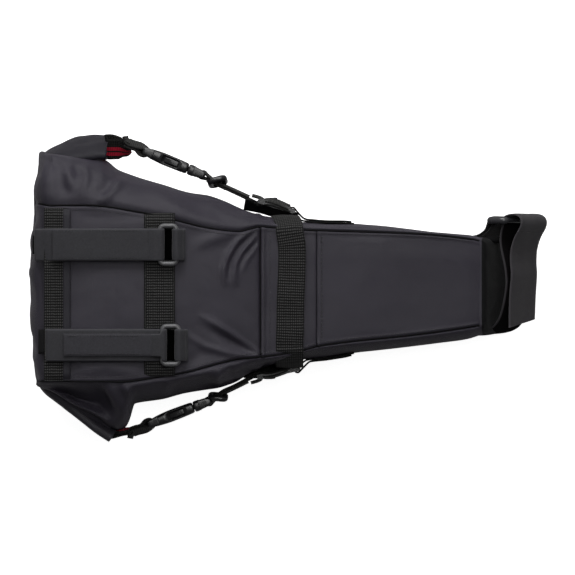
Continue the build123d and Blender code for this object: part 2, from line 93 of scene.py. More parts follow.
# ------------------------------------------------------------------ curves
def hermite(table, x):
    """Smooth curve through (x, value) pairs, without overshoot."""
    if x <= table[0][0]:
        return table[0][1]
    if x >= table[-1][0]:
        return table[-1][1]
    slopes = [(b[1] - a[1]) / (b[0] - a[0]) for a, b in zip(table, table[1:])]
    tangents = [slopes[0]]
    for a, b in zip(slopes, slopes[1:]):
        tangents.append(0 if a * b <= 0 else 2 * a * b / (a + b))
    tangents.append(slopes[-1])
    for i in range(len(slopes)):
        if x <= table[i + 1][0]:
            h = table[i + 1][0] - table[i][0]
            t = (x - table[i][0]) / h
            return (table[i][1] * (2 * t ** 3 - 3 * t * t + 1)
                    + h * tangents[i] * (t ** 3 - 2 * t * t + t)
                    + table[i + 1][1] * (-2 * t ** 3 + 3 * t * t)
                    + h * tangents[i + 1] * (t ** 3 - t * t))


def linear(table, x):
    if x <= table[0][0]:
        return table[0][1]
    for (a, value_a), (b, value_b) in zip(table, table[1:]):
        if x <= b:
            return value_a + (value_b - value_a) * (x - a) / (b - a)
    return table[-1][1]


def ease(a, b, x):
    t = min(max((x - a) / (b - a), 0.0), 1.0)
    return t * t * (3 - 2 * t)


def bell(x, width):
    return math.exp(-(x / width) ** 2)


def signed_power(value, power):
    return abs(value) ** power * (1 if value >= 0 else -1)


def arc(x, y, radius, start, end, steps):
    """Points on an arc, angles in degrees."""
    angles = [math.radians(start + (end - start) * k / steps) for k in range(steps + 1)]
    return [(x + radius * math.cos(t), y + radius * math.sin(t)) for t in angles]


def catmull(points, step):
    """Points along a smooth curve through the given ones, at most about a step apart."""
    knots = [Vector(p) for p in points]
    curve = []
    for i in range(len(knots) - 1):
        before, start = knots[max(i - 1, 0)], knots[i]
        end, after = knots[i + 1], knots[min(i + 2, len(knots) - 1)]
        length = (end - start).length
        leave = (end - before) * 0.5 if i > 0 else (end - start)
        arrive = (after - start) * 0.5 if i < len(knots) - 2 else (end - start)
        for tangent in (leave, arrive):
            if tangent.length > length and tangent.length > 0:
                tangent *= length / tangent.length
        count = max(1, int(math.ceil(length / step)))
        for k in range(count):
            t = k / count
            curve.append(start * (2 * t ** 3 - 3 * t * t + 1) + leave * (t ** 3 - 2 * t * t + t)
                         + end * (-2 * t ** 3 + 3 * t * t) + arrive * (t ** 3 - t * t))
    curve.append(knots[-1])
    return curve


TOP_AT_STATIONS = [(x, linear(CAD_TOP, x)) for x in HARDWARE_STATIONS]


def hardware_top(x):
    return linear(TOP_AT_STATIONS, x)


# ------------------------------------------------------------------ meshes
def new_object(name, verts, faces, material=None, uvs=None):
    """Smooth-shaded mesh object from millimetre vertices; uvs hold one pair per vertex."""
    mesh = bpy.data.meshes.new(name)
    mesh.from_pydata([Vector(v) * MM for v in verts], [], faces)
    mesh.validate()
    mesh.update()
    mesh.polygons.foreach_set("use_smooth", [True] * len(mesh.polygons))
    if uvs is not None:
        layer = mesh.uv_layers.new(name="UVMap")
        for loop in mesh.loops:
            layer.data[loop.index].uv = uvs[loop.vertex_index]
    obj = bpy.data.objects.new(name, mesh)
    bpy.context.scene.collection.objects.link(obj)
    if material:
        mesh.materials.append(material)
    return obj


def describe(obj, slot, *replaced):
    if replaced:
        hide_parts(*replaced)


def attach(obj, body, slot, *replaced):
    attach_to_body(obj, body)
    describe(obj, slot, *replaced)


def bands(count, size, base=0, wrap=False, across_first=False):
    """Quads between successive closed rings of points; the flag sets their winding."""
    faces = []
    for i in range(count if wrap else count - 1):
        a = base + i * size
        b = base + (i + 1) % count * size
        for k in range(size):
            n = (k + 1) % size
            if across_first:
                faces.append((a + k, a + n, b + n, b + k))
            else:
                faces.append((a + k, b + k, b + n, a + n))
    return faces


def tape(name, path, across, width, thickness, material, step=2.0, wobble=0.0, seed=0, cells=10,
         edge=0.35, width_at=None):
    """Woven tape with rounded edges along a centre line.

    across is a vector over the tape, or a function of the place along it (0 to 1).
    """
    line = catmull(path, step)
    last = len(line) - 1
    spread = [-0.5 + k / cells for k in range(cells + 1)]
    # columns: place across, reach of the point, reach in the UV map, face (1, 0 edge, -1)
    columns = [(a, 0.985, 1.0, 1) for a in spread] + [(0.5, 1.0, 1.04, 0)]
    columns += [(a, 0.985, 1.0, -1) for a in reversed(spread)] + [(-0.5, 1.0, 1.04, 0)]
    verts, uvs = [], []
    walked = 0.0
    for i, point in enumerate(line):
        if i:
            walked += (point - line[i - 1]).length
        along = (line[min(i + 1, last)] - line[max(i - 1, 0)]).normalized()
        over = Vector(across(i / last) if callable(across) else across).normalized()
        over = (over - along * over.dot(along)).normalized()
        normal = along.cross(over)
        local_width = width * (width_at(i / last) if width_at else 1.0)
        for a, reach, lay, face in columns:
            rounding = 1.0 - edge * (abs(a) * 2) ** 8
            wave = wobble * noise.noise(
                Vector((walked * 0.05 + seed, a * width * 0.06, seed * 1.7)))
            verts.append(point + over * (a * local_width * reach)
                         + normal * (face * thickness * 0.5 * rounding + wave))
            uvs.append((walked, a * width * lay))
    size = len(columns)
    faces = bands(len(line), size, across_first=True)
    for base, forward in ((0, True), (last * size, False)):
        cap = [(base + k, base + k + 1, base + 2 * cells + 1 - k, base + 2 * cells + 2 - k)
               for k in range(cells)]
        cap.append((base + cells, base + cells + 1, base + cells + 2))
        cap.append((base + 2 * cells + 2, base + 2 * cells + 3, base))
        faces += cap if forward else [face[::-1] for face in cap]
    return new_object(name, verts, faces, material, uvs)


def tube(name, path, radius, material, sides=12, closed=False, step=None):
    """Round wire; radius is a number or a function of the point."""
    line = catmull(path, step) if step else path
    count = len(line)
    verts, uvs = [], []
    normal = None
    walked = 0
    for i, point in enumerate(line):
        if closed:
            along = (line[(i + 1) % count] - line[i - 1]).normalized()
        else:
            along = (line[min(i + 1, count - 1)] - line[max(i - 1, 0)]).normalized()
        if normal is None:
            normal = along.orthogonal().normalized()
        else:
            normal = (normal - along * normal.dot(along)).normalized()
        binormal = along.cross(normal)
        if i:
            walked += (point - line[i - 1]).length
        for k in range(sides):
            a = 2 * math.pi * k / sides
            r = radius(point) if callable(radius) else radius
            verts.append(point + normal * (r * math.cos(a)) + binormal * (r * math.sin(a)))
            uvs.append((walked, k))
    faces = bands(count, sides, wrap=closed)
    if not closed:
        faces.append(tuple(range(sides)))
        faces.append(tuple(reversed(range((count - 1) * sides, count * sides))))
    return new_object(name, verts, faces, material, uvs)


# one stitch: (place along, height, thickness), as shares of its length and radius
STITCH_RINGS = ((-0.5, -0.55, 0.35), (-0.32, 0.05, 0.85), (0.0, 0.30, 1.0), (0.32, 0.05, 0.85),
                (0.5, -0.55, 0.35))
STITCH_SIDES = 6


def sew(name, lines, material, pitch, length, radius, body="bag"):
    """Rows of stitches as short raised threads; lines are lists of (point, normal)."""
    verts, faces = [], []
    for line in lines:
        walked = 0.0
        due = pitch * 0.5
        for (start, start_normal), (end, end_normal) in zip(line, line[1:]):
            span = (end - start).length
            if span < 1e-6:
                continue
            while due <= walked + span:
                f = (due - walked) / span
                centre = start.lerp(end, f)
                normal = start_normal.lerp(end_normal, f).normalized()
                along = (end - start).normalized()
                side = normal.cross(along).normalized()
                base = len(verts)
                for place, height, share in STITCH_RINGS:
                    q = centre + along * (place * length) + normal * (height * radius * 1.6)
                    for k in range(STITCH_SIDES):
                        a = 2 * math.pi * k / STITCH_SIDES
                        verts.append(q + side * (radius * share * math.cos(a))
                                     + normal * (radius * share * math.sin(a)))
                faces += bands(len(STITCH_RINGS), STITCH_SIDES, base, across_first=True)
                due += pitch
            walked += span
    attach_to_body(new_object(name, verts, faces, material), body)


# ------------------------------------------------------------------ materials
def shade(color, factor=1.0):
    return (color[0] * factor, color[1] * factor, color[2] * factor, 1.0)


class Material:
    """Node material with a Principled shader; bump distances are in metres."""

    def __init__(self, name):
        self.data = bpy.data.materials.new(name)
        self.data.use_nodes = True
        self.tree = self.data.node_tree
        self.tree.nodes.clear()
        output = self.node("ShaderNodeOutputMaterial")
        self.shader = self.node("ShaderNodeBsdfPrincipled")
        self.link(self.shader.outputs[0], output.inputs[0])
        self.place = self.node("ShaderNodeTexCoord").outputs["Object"]
        self.normal = None

    @cached_property
    def uv(self):
        return self.node("ShaderNodeUVMap", uv_map="UVMap").outputs[0]

    def node(self, kind, **settings):
        node = self.tree.nodes.new(kind)
        for key, value in settings.items():
            setattr(node, key, value)
        return node

    def link(self, source, target):
        self.tree.links.new(source, target)

    def put(self, socket, value):
        if isinstance(value, bpy.types.NodeSocket):
            self.link(value, socket)
        else:
            socket.default_value = value

    def math(self, operation, *values, clamp=False):
        node = self.node("ShaderNodeMath", operation=operation, use_clamp=clamp)
        for socket, value in zip(node.inputs, values):
            self.put(socket, value)
        return node.outputs[0]

    def times(self, a, b):
        return self.math("MULTIPLY", a, b)

    def scaled(self, value, gain, offset, clamp=False):
        return self.math("MULTIPLY_ADD", value, gain, offset, clamp=clamp)

    def mask(self, value, slope):
        """0 to 1 mask that crosses its middle where value is zero."""
        return self.scaled(value, slope, 0.5, clamp=True)

    def ribs(self, value, pitch):
        return self.math("ABSOLUTE", self.math("SINE", self.times(value, math.pi / pitch)))

    def from_edge(self, width, margin, across):
        """Distance in from a line set back by the margin from the tape's edges."""
        return self.math("SUBTRACT", width * 0.5 - margin, self.math("ABSOLUTE", across))

    def noise(self, scale, detail=3.0, rough=0.5, source=None, distortion=0.0):
        node = self.node("ShaderNodeTexNoise")
        node.inputs["Scale"].default_value = scale
        node.inputs["Detail"].default_value = detail
        node.inputs["Roughness"].default_value = rough
        node.inputs["Distortion"].default_value = distortion
        self.link(source or self.place, node.inputs["Vector"])
        return node.outputs["Fac"]

    def uv_axes(self):
        """u runs along the cloth and v across it, both in millimetres."""
        node = self.node("ShaderNodeSeparateXYZ")
        self.link(self.uv, node.inputs[0])
        return node.outputs[0], node.outputs[1]

    def ramp(self, factor, *stops):
        node = self.node("ShaderNodeValToRGB")
        elements = node.color_ramp.elements
        for element, (position, color) in zip(elements, (stops[0], stops[-1])):
            element.position, element.color = position, color
        for position, color in stops[1:-1]:
            elements.new(position).color = color
        self.link(factor, node.inputs[0])
        return node.outputs[0]

    def shades(self, factor, base, *stops):
        """Ramp of one color; stops are (position, brightness)."""
        return self.ramp(factor, *[(position, shade(base, k)) for position, k in stops])

    def specks(self, factor, low, high):
        return self.ramp(factor, (low, (0, 0, 0, 1)), (high, (1, 1, 1, 1)))

    def mix(self, under, over, mask, amount=None):
        node = self.node("ShaderNodeMix", data_type="RGBA", blend_type="MIX")
        self.put(node.inputs[0], mask if amount is None else self.times(mask, amount))
        self.put(node.inputs[6], under)
        self.put(node.inputs[7], over)
        return node.outputs[2]

    def bump(self, height, distance, strength):
        node = self.node("ShaderNodeBump")
        node.inputs["Distance"].default_value = distance
        node.inputs["Strength"].default_value = strength
        self.link(height, node.inputs["Height"])
        if self.normal is not None:
            self.link(self.normal, node.inputs["Normal"])
        self.normal = node.outputs[0]

    def finish(self, color, rough, spec=0.5, sheen=0.0, sheen_rough=0.4, sheen_tint=None):
        inputs = self.shader.inputs
        self.put(inputs["Base Color"], color)
        self.put(inputs["Roughness"], rough)
        self.put(inputs["Specular IOR Level"], spec)
        inputs["Sheen Weight"].default_value = sheen
        inputs["Sheen Roughness"].default_value = sheen_rough
        if sheen_tint:
            inputs["Sheen Tint"].default_value = sheen_tint
        if self.normal is not None:
            self.link(self.normal, inputs["Normal"])
        return self.data


def fabric(name, base, pitch=0.62, rough=0.52, spec=0.42, sheen=0.10, weave_depth=0.00012,
           sheen_tint=(0.72, 0.66, 0.80, 1.0), fold_depth=0.0010):
    """Plain weave with soft folds, worn patches and pale specks."""
    m = Material(name)
    u, v = m.uv_axes()
    waves = [m.math("SINE", m.times(axis, 2 * math.pi / pitch)) for axis in (u, v)]
    weave = m.scaled(m.times(*waves), gain=0.5, offset=0.5)
    slub = m.noise(scale=2.4, detail=2.0, source=m.uv)
    big = m.noise(scale=14.0, detail=4.0, rough=0.55)
    medium = m.noise(scale=55.0, detail=4.0, rough=0.6, distortion=0.6)
    fine = m.noise(scale=900.0, detail=2.0, rough=0.6)
    m.bump(big, distance=fold_depth * 1.5, strength=0.55)
    m.bump(medium, distance=fold_depth * 0.45, strength=0.55)
    m.bump(slub, distance=0.00006, strength=0.6)
    m.bump(weave, distance=weave_depth, strength=0.75)
    color = m.shades(big, base, (0.30, 0.86), (0.52, 1.0), (0.74, 1.20))
    color = m.mix(color, shade(base, 1.55), mask=weave, amount=0.35)
    wear = m.specks(m.noise(scale=6.0, detail=6.0, rough=0.7), low=0.60, high=0.78)
    color = m.mix(color, shade(base, 1.9), mask=wear, amount=0.22)
    color = m.mix(color, shade(base, 3.0), mask=m.specks(fine, low=0.70, high=0.82), amount=0.25)
    roughness = m.math("ADD", m.scaled(big, gain=0.22, offset=rough - 0.11), m.times(wear, 0.06))
    return m.finish(color, roughness, spec, sheen=sheen, sheen_tint=sheen_tint)


def webbing(name, low, high, pitch=2.15, width=25.0, stripes=(), stripe_color=None):
    """Ribbed webbing, painted from low in the hollows (painted shade) to high on the ribs (painted
    highlight); stripes are (centre, width).
    """
    m = Material(name)
    u, v = m.uv_axes()
    warp = m.noise(scale=0.35, detail=2.0, source=m.uv)
    along = m.math("ADD", u, m.times(warp, 0.8))
    rib = m.math("POWER", m.ribs(along, pitch), 0.55)
    yarn = m.ribs(m.math("ADD", v, m.times(along, 0.5)), pitch=1.05)
    inside = m.mask(m.from_edge(width, margin=1.5, across=v), slope=1.6)
    selvedge = m.ribs(along, pitch * 0.5)
    outside = m.math("SUBTRACT", 1.0, inside)
    height = m.math("ADD", m.times(rib, inside), m.times(selvedge, outside))
    height = m.math("ADD", m.times(height, 0.8), m.times(yarn, 0.20))
    fuzz = m.noise(scale=700.0, detail=3.0, rough=0.7)
    m.bump(height, distance=0.00042, strength=0.85)
    m.bump(fuzz, distance=0.00008, strength=0.6)
    dash = m.ribs(v, pitch=1.7)
    # painted highlight on the rib crests and painted shade in the hollows, broken by the woven
    # dashes
    lit = m.times(height, m.scaled(dash, gain=0.35, offset=0.65))
    color = m.ramp(lit, (0.42, shade(low)), (0.69, shade(high, 0.24)), (0.92, shade(high, 2.7)))
    blotches = m.noise(scale=30.0, detail=3.0, rough=0.6)
    color = m.mix(color, shade(low), mask=blotches, amount=0.30)
    stripe_mask = None
    for centre, stripe_width in stripes:
        offset = m.math("ABSOLUTE", m.math("SUBTRACT", v, centre))
        band = m.mask(m.math("SUBTRACT", stripe_width * 0.5, offset), slope=3.0)
        stripe_mask = band if stripe_mask is None else m.math("MAXIMUM", stripe_mask, band)
    if stripes:
        # the stripes are also painted darker in the rib hollows, as painted shade
        stripe = m.shades(height, stripe_color, (0.1, 0.35), (0.9, 1.0))
        color = m.mix(color, stripe, mask=stripe_mask)
    color = m.mix(color, shade(high, 1.6), mask=m.specks(fuzz, low=0.66, high=0.8), amount=0.3)
    return m.finish(color, m.scaled(fuzz, gain=0.2, offset=0.62), spec=0.14, sheen=0.05,
                    sheen_rough=0.5)


def hook_and_loop(name, base, width=25.0, hooks=False, painted_shade_until=None):
    """Fuzzy tape with a ribbed selvedge, painted lighter along its edges as a highlight; with a
    length given, near black up to it along the tape as painted shade.
    """
    m = Material(name)
    u, v = m.uv_axes()
    inside = m.mask(m.from_edge(width, margin=1.3, across=v), slope=2.2)
    fine = m.noise(scale=1.9, detail=4.0, rough=0.75, source=m.uv)
    curl = m.noise(scale=420.0, detail=4.0, rough=0.8, distortion=1.6)
    if hooks:
        rows = m.times(m.ribs(u, pitch=1.3), m.ribs(v, pitch=1.1))
        m.bump(rows, distance=0.0005, strength=0.9)
    m.bump(m.noise(scale=24.0), distance=0.0008, strength=0.5)
    m.bump(fine, distance=0.00025, strength=0.6)
    m.bump(curl, distance=0.00018, strength=0.7)
    m.bump(inside, distance=0.0003, strength=0.6)
    color = m.shades(curl, base, (0.30, 0.72), (0.55, 1.0), (0.80, 1.35))
    blotches = m.noise(scale=9.0, detail=4.0, rough=0.6)
    color = m.mix(color, shade(base, 0.7), mask=blotches, amount=0.25)
    # ribbed selvedge along the edges, painted lighter as a painted highlight
    selvedge = m.shades(m.ribs(u, pitch=0.9), base, (0.1, 0.80), (0.9, 1.55))
    color = m.mix(selvedge, color, mask=inside)
    spec = 0.22
    # painted shade: near black along the shaded layer, a little less at the edges, with less gloss
    # and sheen
    if painted_shade_until:
        near = m.mask(m.math("SUBTRACT", painted_shade_until, u), slope=0.12)
        dark = m.times(near, m.scaled(inside, gain=0.55, offset=0.35))
        color = m.mix(color, shade((0.004, 0.0036, 0.0036)), mask=dark)
        spec = m.scaled(dark, gain=-0.24, offset=0.22, clamp=True)
    lint_noise = m.noise(scale=260.0, detail=5.0, rough=0.8, distortion=3.0)
    lint = m.specks(lint_noise, low=0.66, high=0.76)
    color = m.mix(color, shade(base, 2.6), mask=lint, amount=0.20)
    data = m.finish(color, m.scaled(fine, gain=0.16, offset=0.62), spec, sheen=0.12,
                    sheen_rough=0.45)
    if painted_shade_until:
        m.link(m.scaled(dark, gain=-0.13, offset=0.12, clamp=True),
               m.shader.inputs["Sheen Weight"])
    return data


def plastic(name, base, rough, spec=0.5):
    """Moulded plastic with fine grain and rubbed scratches."""
    m = Material(name)
    grain = m.noise(scale=1500.0, detail=2.0)
    waves = m.noise(scale=60.0)
    scratches = m.noise(scale=160.0, detail=6.0, rough=0.75, distortion=4.0)
    m.bump(waves, distance=0.00018, strength=0.35)
    m.bump(grain, distance=0.00006, strength=0.6)
    m.bump(scratches, distance=0.00003, strength=0.5)
    color = m.shades(waves, base, (0.30, 0.85), (0.70, 1.2))
    rub = m.specks(scratches, low=0.58, high=0.70)
    color = m.mix(color, shade(base, 2.2), mask=rub, amount=0.3)
    roughness = m.math("ADD", m.scaled(waves, gain=0.16, offset=rough - 0.08),
                       m.times(rub, 0.12))
    return m.finish(color, roughness, spec)


def thread(name, base, spec=0.3, sheen=0.2):
    m = Material(name)
    twist = m.noise(scale=2500.0, detail=2.0, rough=0.6)
    m.bump(twist, distance=0.00005, strength=0.8)
    color = m.shades(twist, base, (0.3, 0.6), (0.7, 1.4))
    return m.finish(color, rough=0.6, spec=spec, sheen=sheen)


SHELL = fabric("shell_fabric", (0.0212, 0.0184, 0.0275))
# darker copy of the shell fabric: painted shade on the left ear and along the rear webbing's edge
DARK_SHADE_FABRIC = fabric("shade_fabric_dark", (0.0110, 0.0100, 0.0150), spec=0.30, sheen=0.06)
MOUTH = fabric("mouth_fabric", (0.0190, 0.0170, 0.0225), rough=0.50, fold_depth=0.0018)
# near-black fabric: painted shade on the nose's end panel and in shadowed gaps under the rail strap
# folds, behind the ladder locks and under the nose's ring loop
NOSE = fabric("nose_fabric", (0.0050, 0.0050, 0.0054), pitch=0.9, rough=0.66, spec=0.12,
              sheen=0.05, weave_depth=0.0002, sheen_tint=(0.7, 0.7, 0.7, 1))
BASE = fabric("base_fabric", (0.0150, 0.0140, 0.0165), pitch=0.9, rough=0.58, spec=0.35,
              weave_depth=0.0002)
WEBBING = webbing("webbing", low=(0.0020, 0.0020, 0.0020), high=(0.0290, 0.0288, 0.0285))
NARROW_LOW = (0.0035, 0.0035, 0.0033)
WEBBING_NARROW = webbing("webbing_narrow", NARROW_LOW, high=(0.030, 0.030, 0.028), pitch=1.5,
                         width=20.0)
STRIPED = webbing("striped_webbing", NARROW_LOW, high=(0.026, 0.026, 0.025), pitch=1.4,
                  width=20.0, stripes=[(-4.2, 4.4), (4.2, 4.4)],
                  stripe_color=(0.44, 0.012, 0.030))
STRIPED_TAB = webbing("striped_tab", NARROW_LOW, high=(0.022, 0.022, 0.021), pitch=1.4,
                      width=20.0, stripes=[(0.7, 3.5), (-4.4, 3.5)],
                      stripe_color=(0.60, 0.016, 0.048))
FUZZ = hook_and_loop("hook_and_loop", (0.0325, 0.0322, 0.0365))
FUZZ_NARROW = hook_and_loop("hook_and_loop_narrow", (0.0335, 0.0325, 0.0385), width=19.5)
FUZZ_PATCH = hook_and_loop("hook_patch", (0.0320, 0.0315, 0.0365), width=40.0)
WIDE_COLOR = (0.0370, 0.0340, 0.0380)
FUZZ_WIDE = hook_and_loop("hook_and_loop_wide", WIDE_COLOR, width=38.0)
RING_LOOP = hook_and_loop("ring_loop_tape", (0.0100, 0.0098, 0.0100), width=34.0)
HOOKS_WIDE = hook_and_loop("hook_tape_wide", (0.0240, 0.0240, 0.0260), width=32.0, hooks=True)
RING = plastic("ring_plastic", (0.085, 0.085, 0.089), rough=0.30)
RING_WIDE = plastic("ring_plastic_wide", (0.026, 0.026, 0.029), rough=0.24, spec=0.7)
BUCKLE = plastic("buckle_plastic", (0.0080, 0.0080, 0.0092), rough=0.25, spec=0.62)
THREAD_DARK = thread("thread_dark", (0.020, 0.019, 0.022))
THREAD_BLACK = thread("thread_black", (0.007, 0.007, 0.007))
# near-black cord material: painted shade in the seam lines
SEAM_SHADE_CORD = thread("seam_shade_cord", (0.0030, 0.0029, 0.0034), spec=0.10, sheen=0.03)
# near-black material for the painted shadow under the rings' slots
SLOT_SHADOW = thread("slot_backing", (0.0010, 0.0010, 0.0010), spec=0.0, sheen=0.0)

# ------------------------------------------------------------------ shell grid
# Each ring of the shell runs over the top from right to left, down the left wall,
# across the base and up the right wall. TOP_PLACES are shares of the way over the top.
TOP_PLACES = ([0.0, 0.007, 0.016, 0.030, 0.046]
              + [0.046 + (0.954 - 0.046) * i / 50 for i in range(1, 50)]
              + [0.954, 0.970, 0.984, 0.993])
TOP_CELLS = len(TOP_PLACES)
WALL_CELLS, BASE_CELLS = 32, 20
RING_CELLS = TOP_CELLS + WALL_CELLS + BASE_CELLS + WALL_CELLS
RIGHT_WALL = WALL_CELLS + BASE_CELLS    # first right wall cell, counted from the left seam
MIDDLE = TOP_CELLS // 2
TAIL_X, NOSE_X = -184.0, 150.0
YOKE_REAR, YOKE_FRONT = -20.5, 22.5     # cross seams either side of the yoke
TAIL_RINGS = 14
# body rings, with the even spacing replaced by closer rings at the two cross seams
BODY_X = [-184 + 2.4 * i for i in range(78)] + [3.0 + 3.4 * i for i in range(44)]
BODY_X = [x for x in BODY_X if not (-24.5 < x < -16.5 or 19.5 < x < 26.5)]
BODY_X += [-24.0, -22.6, -21.6, -20.9, -20.2, -19.4, -18.2, -16.6,
           19.8, 21.2, 22.2, 22.8, 23.4, 24.4, 26.2, NOSE_X]
BODY_X.sort()
# nose rings: (scale of the section, share of the bulge forwards)
NOSE_STEPS = ((0.999, 0.12), (0.996, 0.30), (0.988, 0.50), (0.972, 0.68), (0.945, 0.83),
              (0.90, 0.93), (0.80, 0.98), (0.62, 1.0), (0.36, 1.01), (0.12, 1.015))


def wall(seam, side, base, top, belly, floor, dip=0.0):
    """(y, z) down one wall, widest at the belly height; dip hollows its upper part."""
    points = []
    upper = WALL_CELLS * 9 // 16
    lower = WALL_CELLS - upper
    for i in range(upper):
        a = (i / upper) ** 0.92 * math.pi / 2
        y = seam + (side - seam) * math.sin(a) ** 0.92
        z = belly + (top - belly) * math.cos(a) ** 0.86
        if dip:
            t = (y - seam) / (side - seam)
            z -= dip * math.sin(math.pi * min(1.0, t / 0.98) ** 1.25) ** 1.2
        points.append((y, z))
    for i in range(lower):
        a = i / lower * math.pi / 2
        points.append((base + (side - base) * math.cos(a) ** 0.9,
                       floor + (belly - floor) * (1 - math.sin(a))))
    return points


def section(seam_l, seam_r, top, crown, side_l, side_r, belly_l, belly_r, base_l, base_r, floor,
            dip):
    """Closed ring of (y, z)."""
    points = [(seam_r + (seam_l - seam_r) * u, top + crown * (1 - (2 * u - 1) ** 2))
              for u in TOP_PLACES]
    points += wall(seam_l, side_l, base_l, top, belly_l, floor)
    points += [(base_l + (base_r - base_l) * i / BASE_CELLS, floor) for i in range(BASE_CELLS)]
    right = wall(seam_r, side_r, base_r, top, belly_r, floor, dip)
    return points + [(base_r, floor)] + right[:0:-1]


def station(x):
    """Dimensions of the section at x."""
    top = hermite(TOP, x)
    seam_l, seam_r = hermite(SEAM_LEFT, x), hermite(SEAM_RIGHT, x)
    side_l = max(hermite(WALL_LEFT, x), seam_l + 1.5)
    side_r = min(hermite(WALL_RIGHT, x), seam_r - 1.5)
    tail_l = 1 - ease(-168, -134, x)
    tail_r = 1 - ease(-150, -122, x)
    taper = 0.66 + 0.27 * ease(20, 130, x)
    return dict(
        seam_l=seam_l, seam_r=seam_r, top=top,
        crown=1.3 * ease(-200, -150, x) * (1 - 0.6 * ease(-60, 40, x)),
        side_l=side_l, side_r=side_r,
        belly_l=0.50 * top + (87 - 0.5 * top) * tail_l,
        belly_r=0.50 * top + (84 - 0.5 * top) * tail_r,
        base_l=side_l * taper, base_r=max(side_r, -92.0) * taper,
        floor=0.0, dip=25.0 * tail_r * ease(-194, -168, x))


def rear_edge(y):
    """x of the rear edge of the bag in plan."""
    return -202.0 + 7.8 * min(abs(y) / 107.0, 1.15) ** 1.6


def tail_ring(k):
    """The tail rounds over towards the roll and draws in to the mouth."""
    angle = math.pi / 2 * (k / TAIL_RINGS) ** 0.9
    cosine, sine = math.cos(angle), math.sin(angle)
    ring = station(TAIL_X)
    top = 82 + (ring["top"] - 82) * cosine ** 0.75
    floor = 44 - 44 * cosine ** 0.7
    side_l, side_r = ring["side_l"] + 1.0 * sine, ring["side_r"] + 2.0 * sine
    ring.update(
        top=top, floor=floor, crown=ring["crown"] * cosine, dip=ring["dip"] * cosine,
        belly_r=floor + (top - floor) * (0.72 - 0.2 * sine),
        belly_l=floor + (top - floor) * (0.76 - 0.2 * sine),
        seam_l=ring["seam_l"] + 2.0 * sine, seam_r=ring["seam_r"] - 0.5 * sine,
        side_l=side_l, side_r=side_r,
        base_l=ring["base_l"] + (side_l * 0.95 - ring["base_l"]) * sine,
        base_r=ring["base_r"] + (side_r * 0.95 - ring["base_r"]) * sine)
    return sine, [Vector((TAIL_X + (rear_edge(y) + 1.6 - TAIL_X) * sine, y, z))
                  for y, z in section(**ring)]


def nose_ring(scale, forward):
    """The end panel bulges forwards, most at the base, and closes towards its middle."""
    middle_z = 30.0
    points = []
    for y, z in section(**station(NOSE_X)):
        z = middle_z + (z - middle_z) * scale
        y = y * scale
        bulge = (5.0 + 21.5 * (1 - z / 74.0)) * (1 - 0.05 * (abs(y) / 36.0) ** 2)
        points.append(Vector((NOSE_X + forward * bulge, y, z)))
    return points


def raw_shell():
    """(kind, place) of every ring from tail to nose, and the grid of their points."""
    kinds, grid = [], []
    for k in range(TAIL_RINGS, 0, -1):
        sine, points = tail_ring(k)
        kinds.append(("tail", sine))
        grid.append(points)
    for x in BODY_X:
        kinds.append(("body", x))
        grid.append([Vector((x, y, z)) for y, z in section(**station(x))])
    for scale, forward in NOSE_STEPS:
        kinds.append(("nose", forward))
        grid.append(nose_ring(scale, forward))
    return kinds, grid


def grid_normal(grid, i, j):
    """Outward normal of a grid point."""
    along = grid[min(i + 1, len(grid) - 1)][j] - grid[max(i - 1, 0)][j]
    around = grid[i][(j + 1) % RING_CELLS] - grid[i][j - 1]
    normal = around.cross(along)
    if normal.length < 1e-9:
        return Vector((0, 0, 1))
    normal.normalize()
    centre = sum(grid[i], Vector()) / RING_CELLS
    return normal if normal.dot(grid[i][j] - centre) >= 0 else -normal


# ------------------------------------------------------------------ creases
# rows: width, depth, lipped (a sharp fold with one soft side), line in plan as (x, y)
CREASES_TOP = [
    (2.6, 2.4, False, [(-28.86, 43.68), (-38.22, 35.88), (-45.24, 24.96), (-49.14, 14.82),
                       (-49.14, 3.9)]),
    (2.4, 2.0, False, [(-24.96, 39.78), (-33.54, 29.64), (-39.78, 19.5), (-42.12, 10.14),
                       (-41.34, 2.34)]),
    (2.2, -1.8, False, [(-31.98, 38.22), (-40.56, 28.86), (-45.24, 17.94), (-46.02, 7.02)]),
    (2.4, 1.2, False, [(-22.62, 34.32), (-31.2, 23.4), (-35.88, 13.26)]),
    (2.2, -1.5, False, [(-24.18, 34.32), (-34.32, 24.18), (-39.0, 13.26)]),
    (3.4, 2.2, True, [(-64.74, -22.62), (-50.7, -31.2), (-34.32, -42.12), (-17.94, -52.26)]),
    (3.2, 1.4, True, [(-78.78, -35.1), (-63.18, -45.24), (-42.9, -50.7), (-22.62, -53.04)]),
    (4.5, -2.2, False, [(-56.94, -33.54), (-39.78, -42.9), (-22.62, -50.7)]),
    (5.0, 0.9, False, [(-70.98, 31.98), (-56.94, 38.22), (-39.78, 42.12)]),
    (6.0, -1.0, False, [(-106.86, -69.42), (-83.46, -63.18), (-63.18, -49.14)]),
    (5.0, -0.6, False, [(-163.02, 56.16), (-130.26, 53.04), (-109.98, 55.38)]),
    (6.5, 1.1, False, [(-164.58, -66.3), (-141.96, -60.06), (-114.66, -66.3)]),
    (5.0, -0.7, False, [(-19.5, 39.78), (-18.72, -10.14), (-16.38, -47.58)]),
    (3.0, -0.8, False, [(-197.34, 55.38), (-192.66, 39.78), (-193.44, 19.5), (-191.1, -10.14)]),
    (3.4, 0.8, False, [(-198.12, -33.54), (-192.66, -49.14), (-191.1, -67.86)]),
    (2.4, -0.6, False, [(-189.54, 19.5), (-191.1, -2.34), (-191.1, -27.3)]),
]
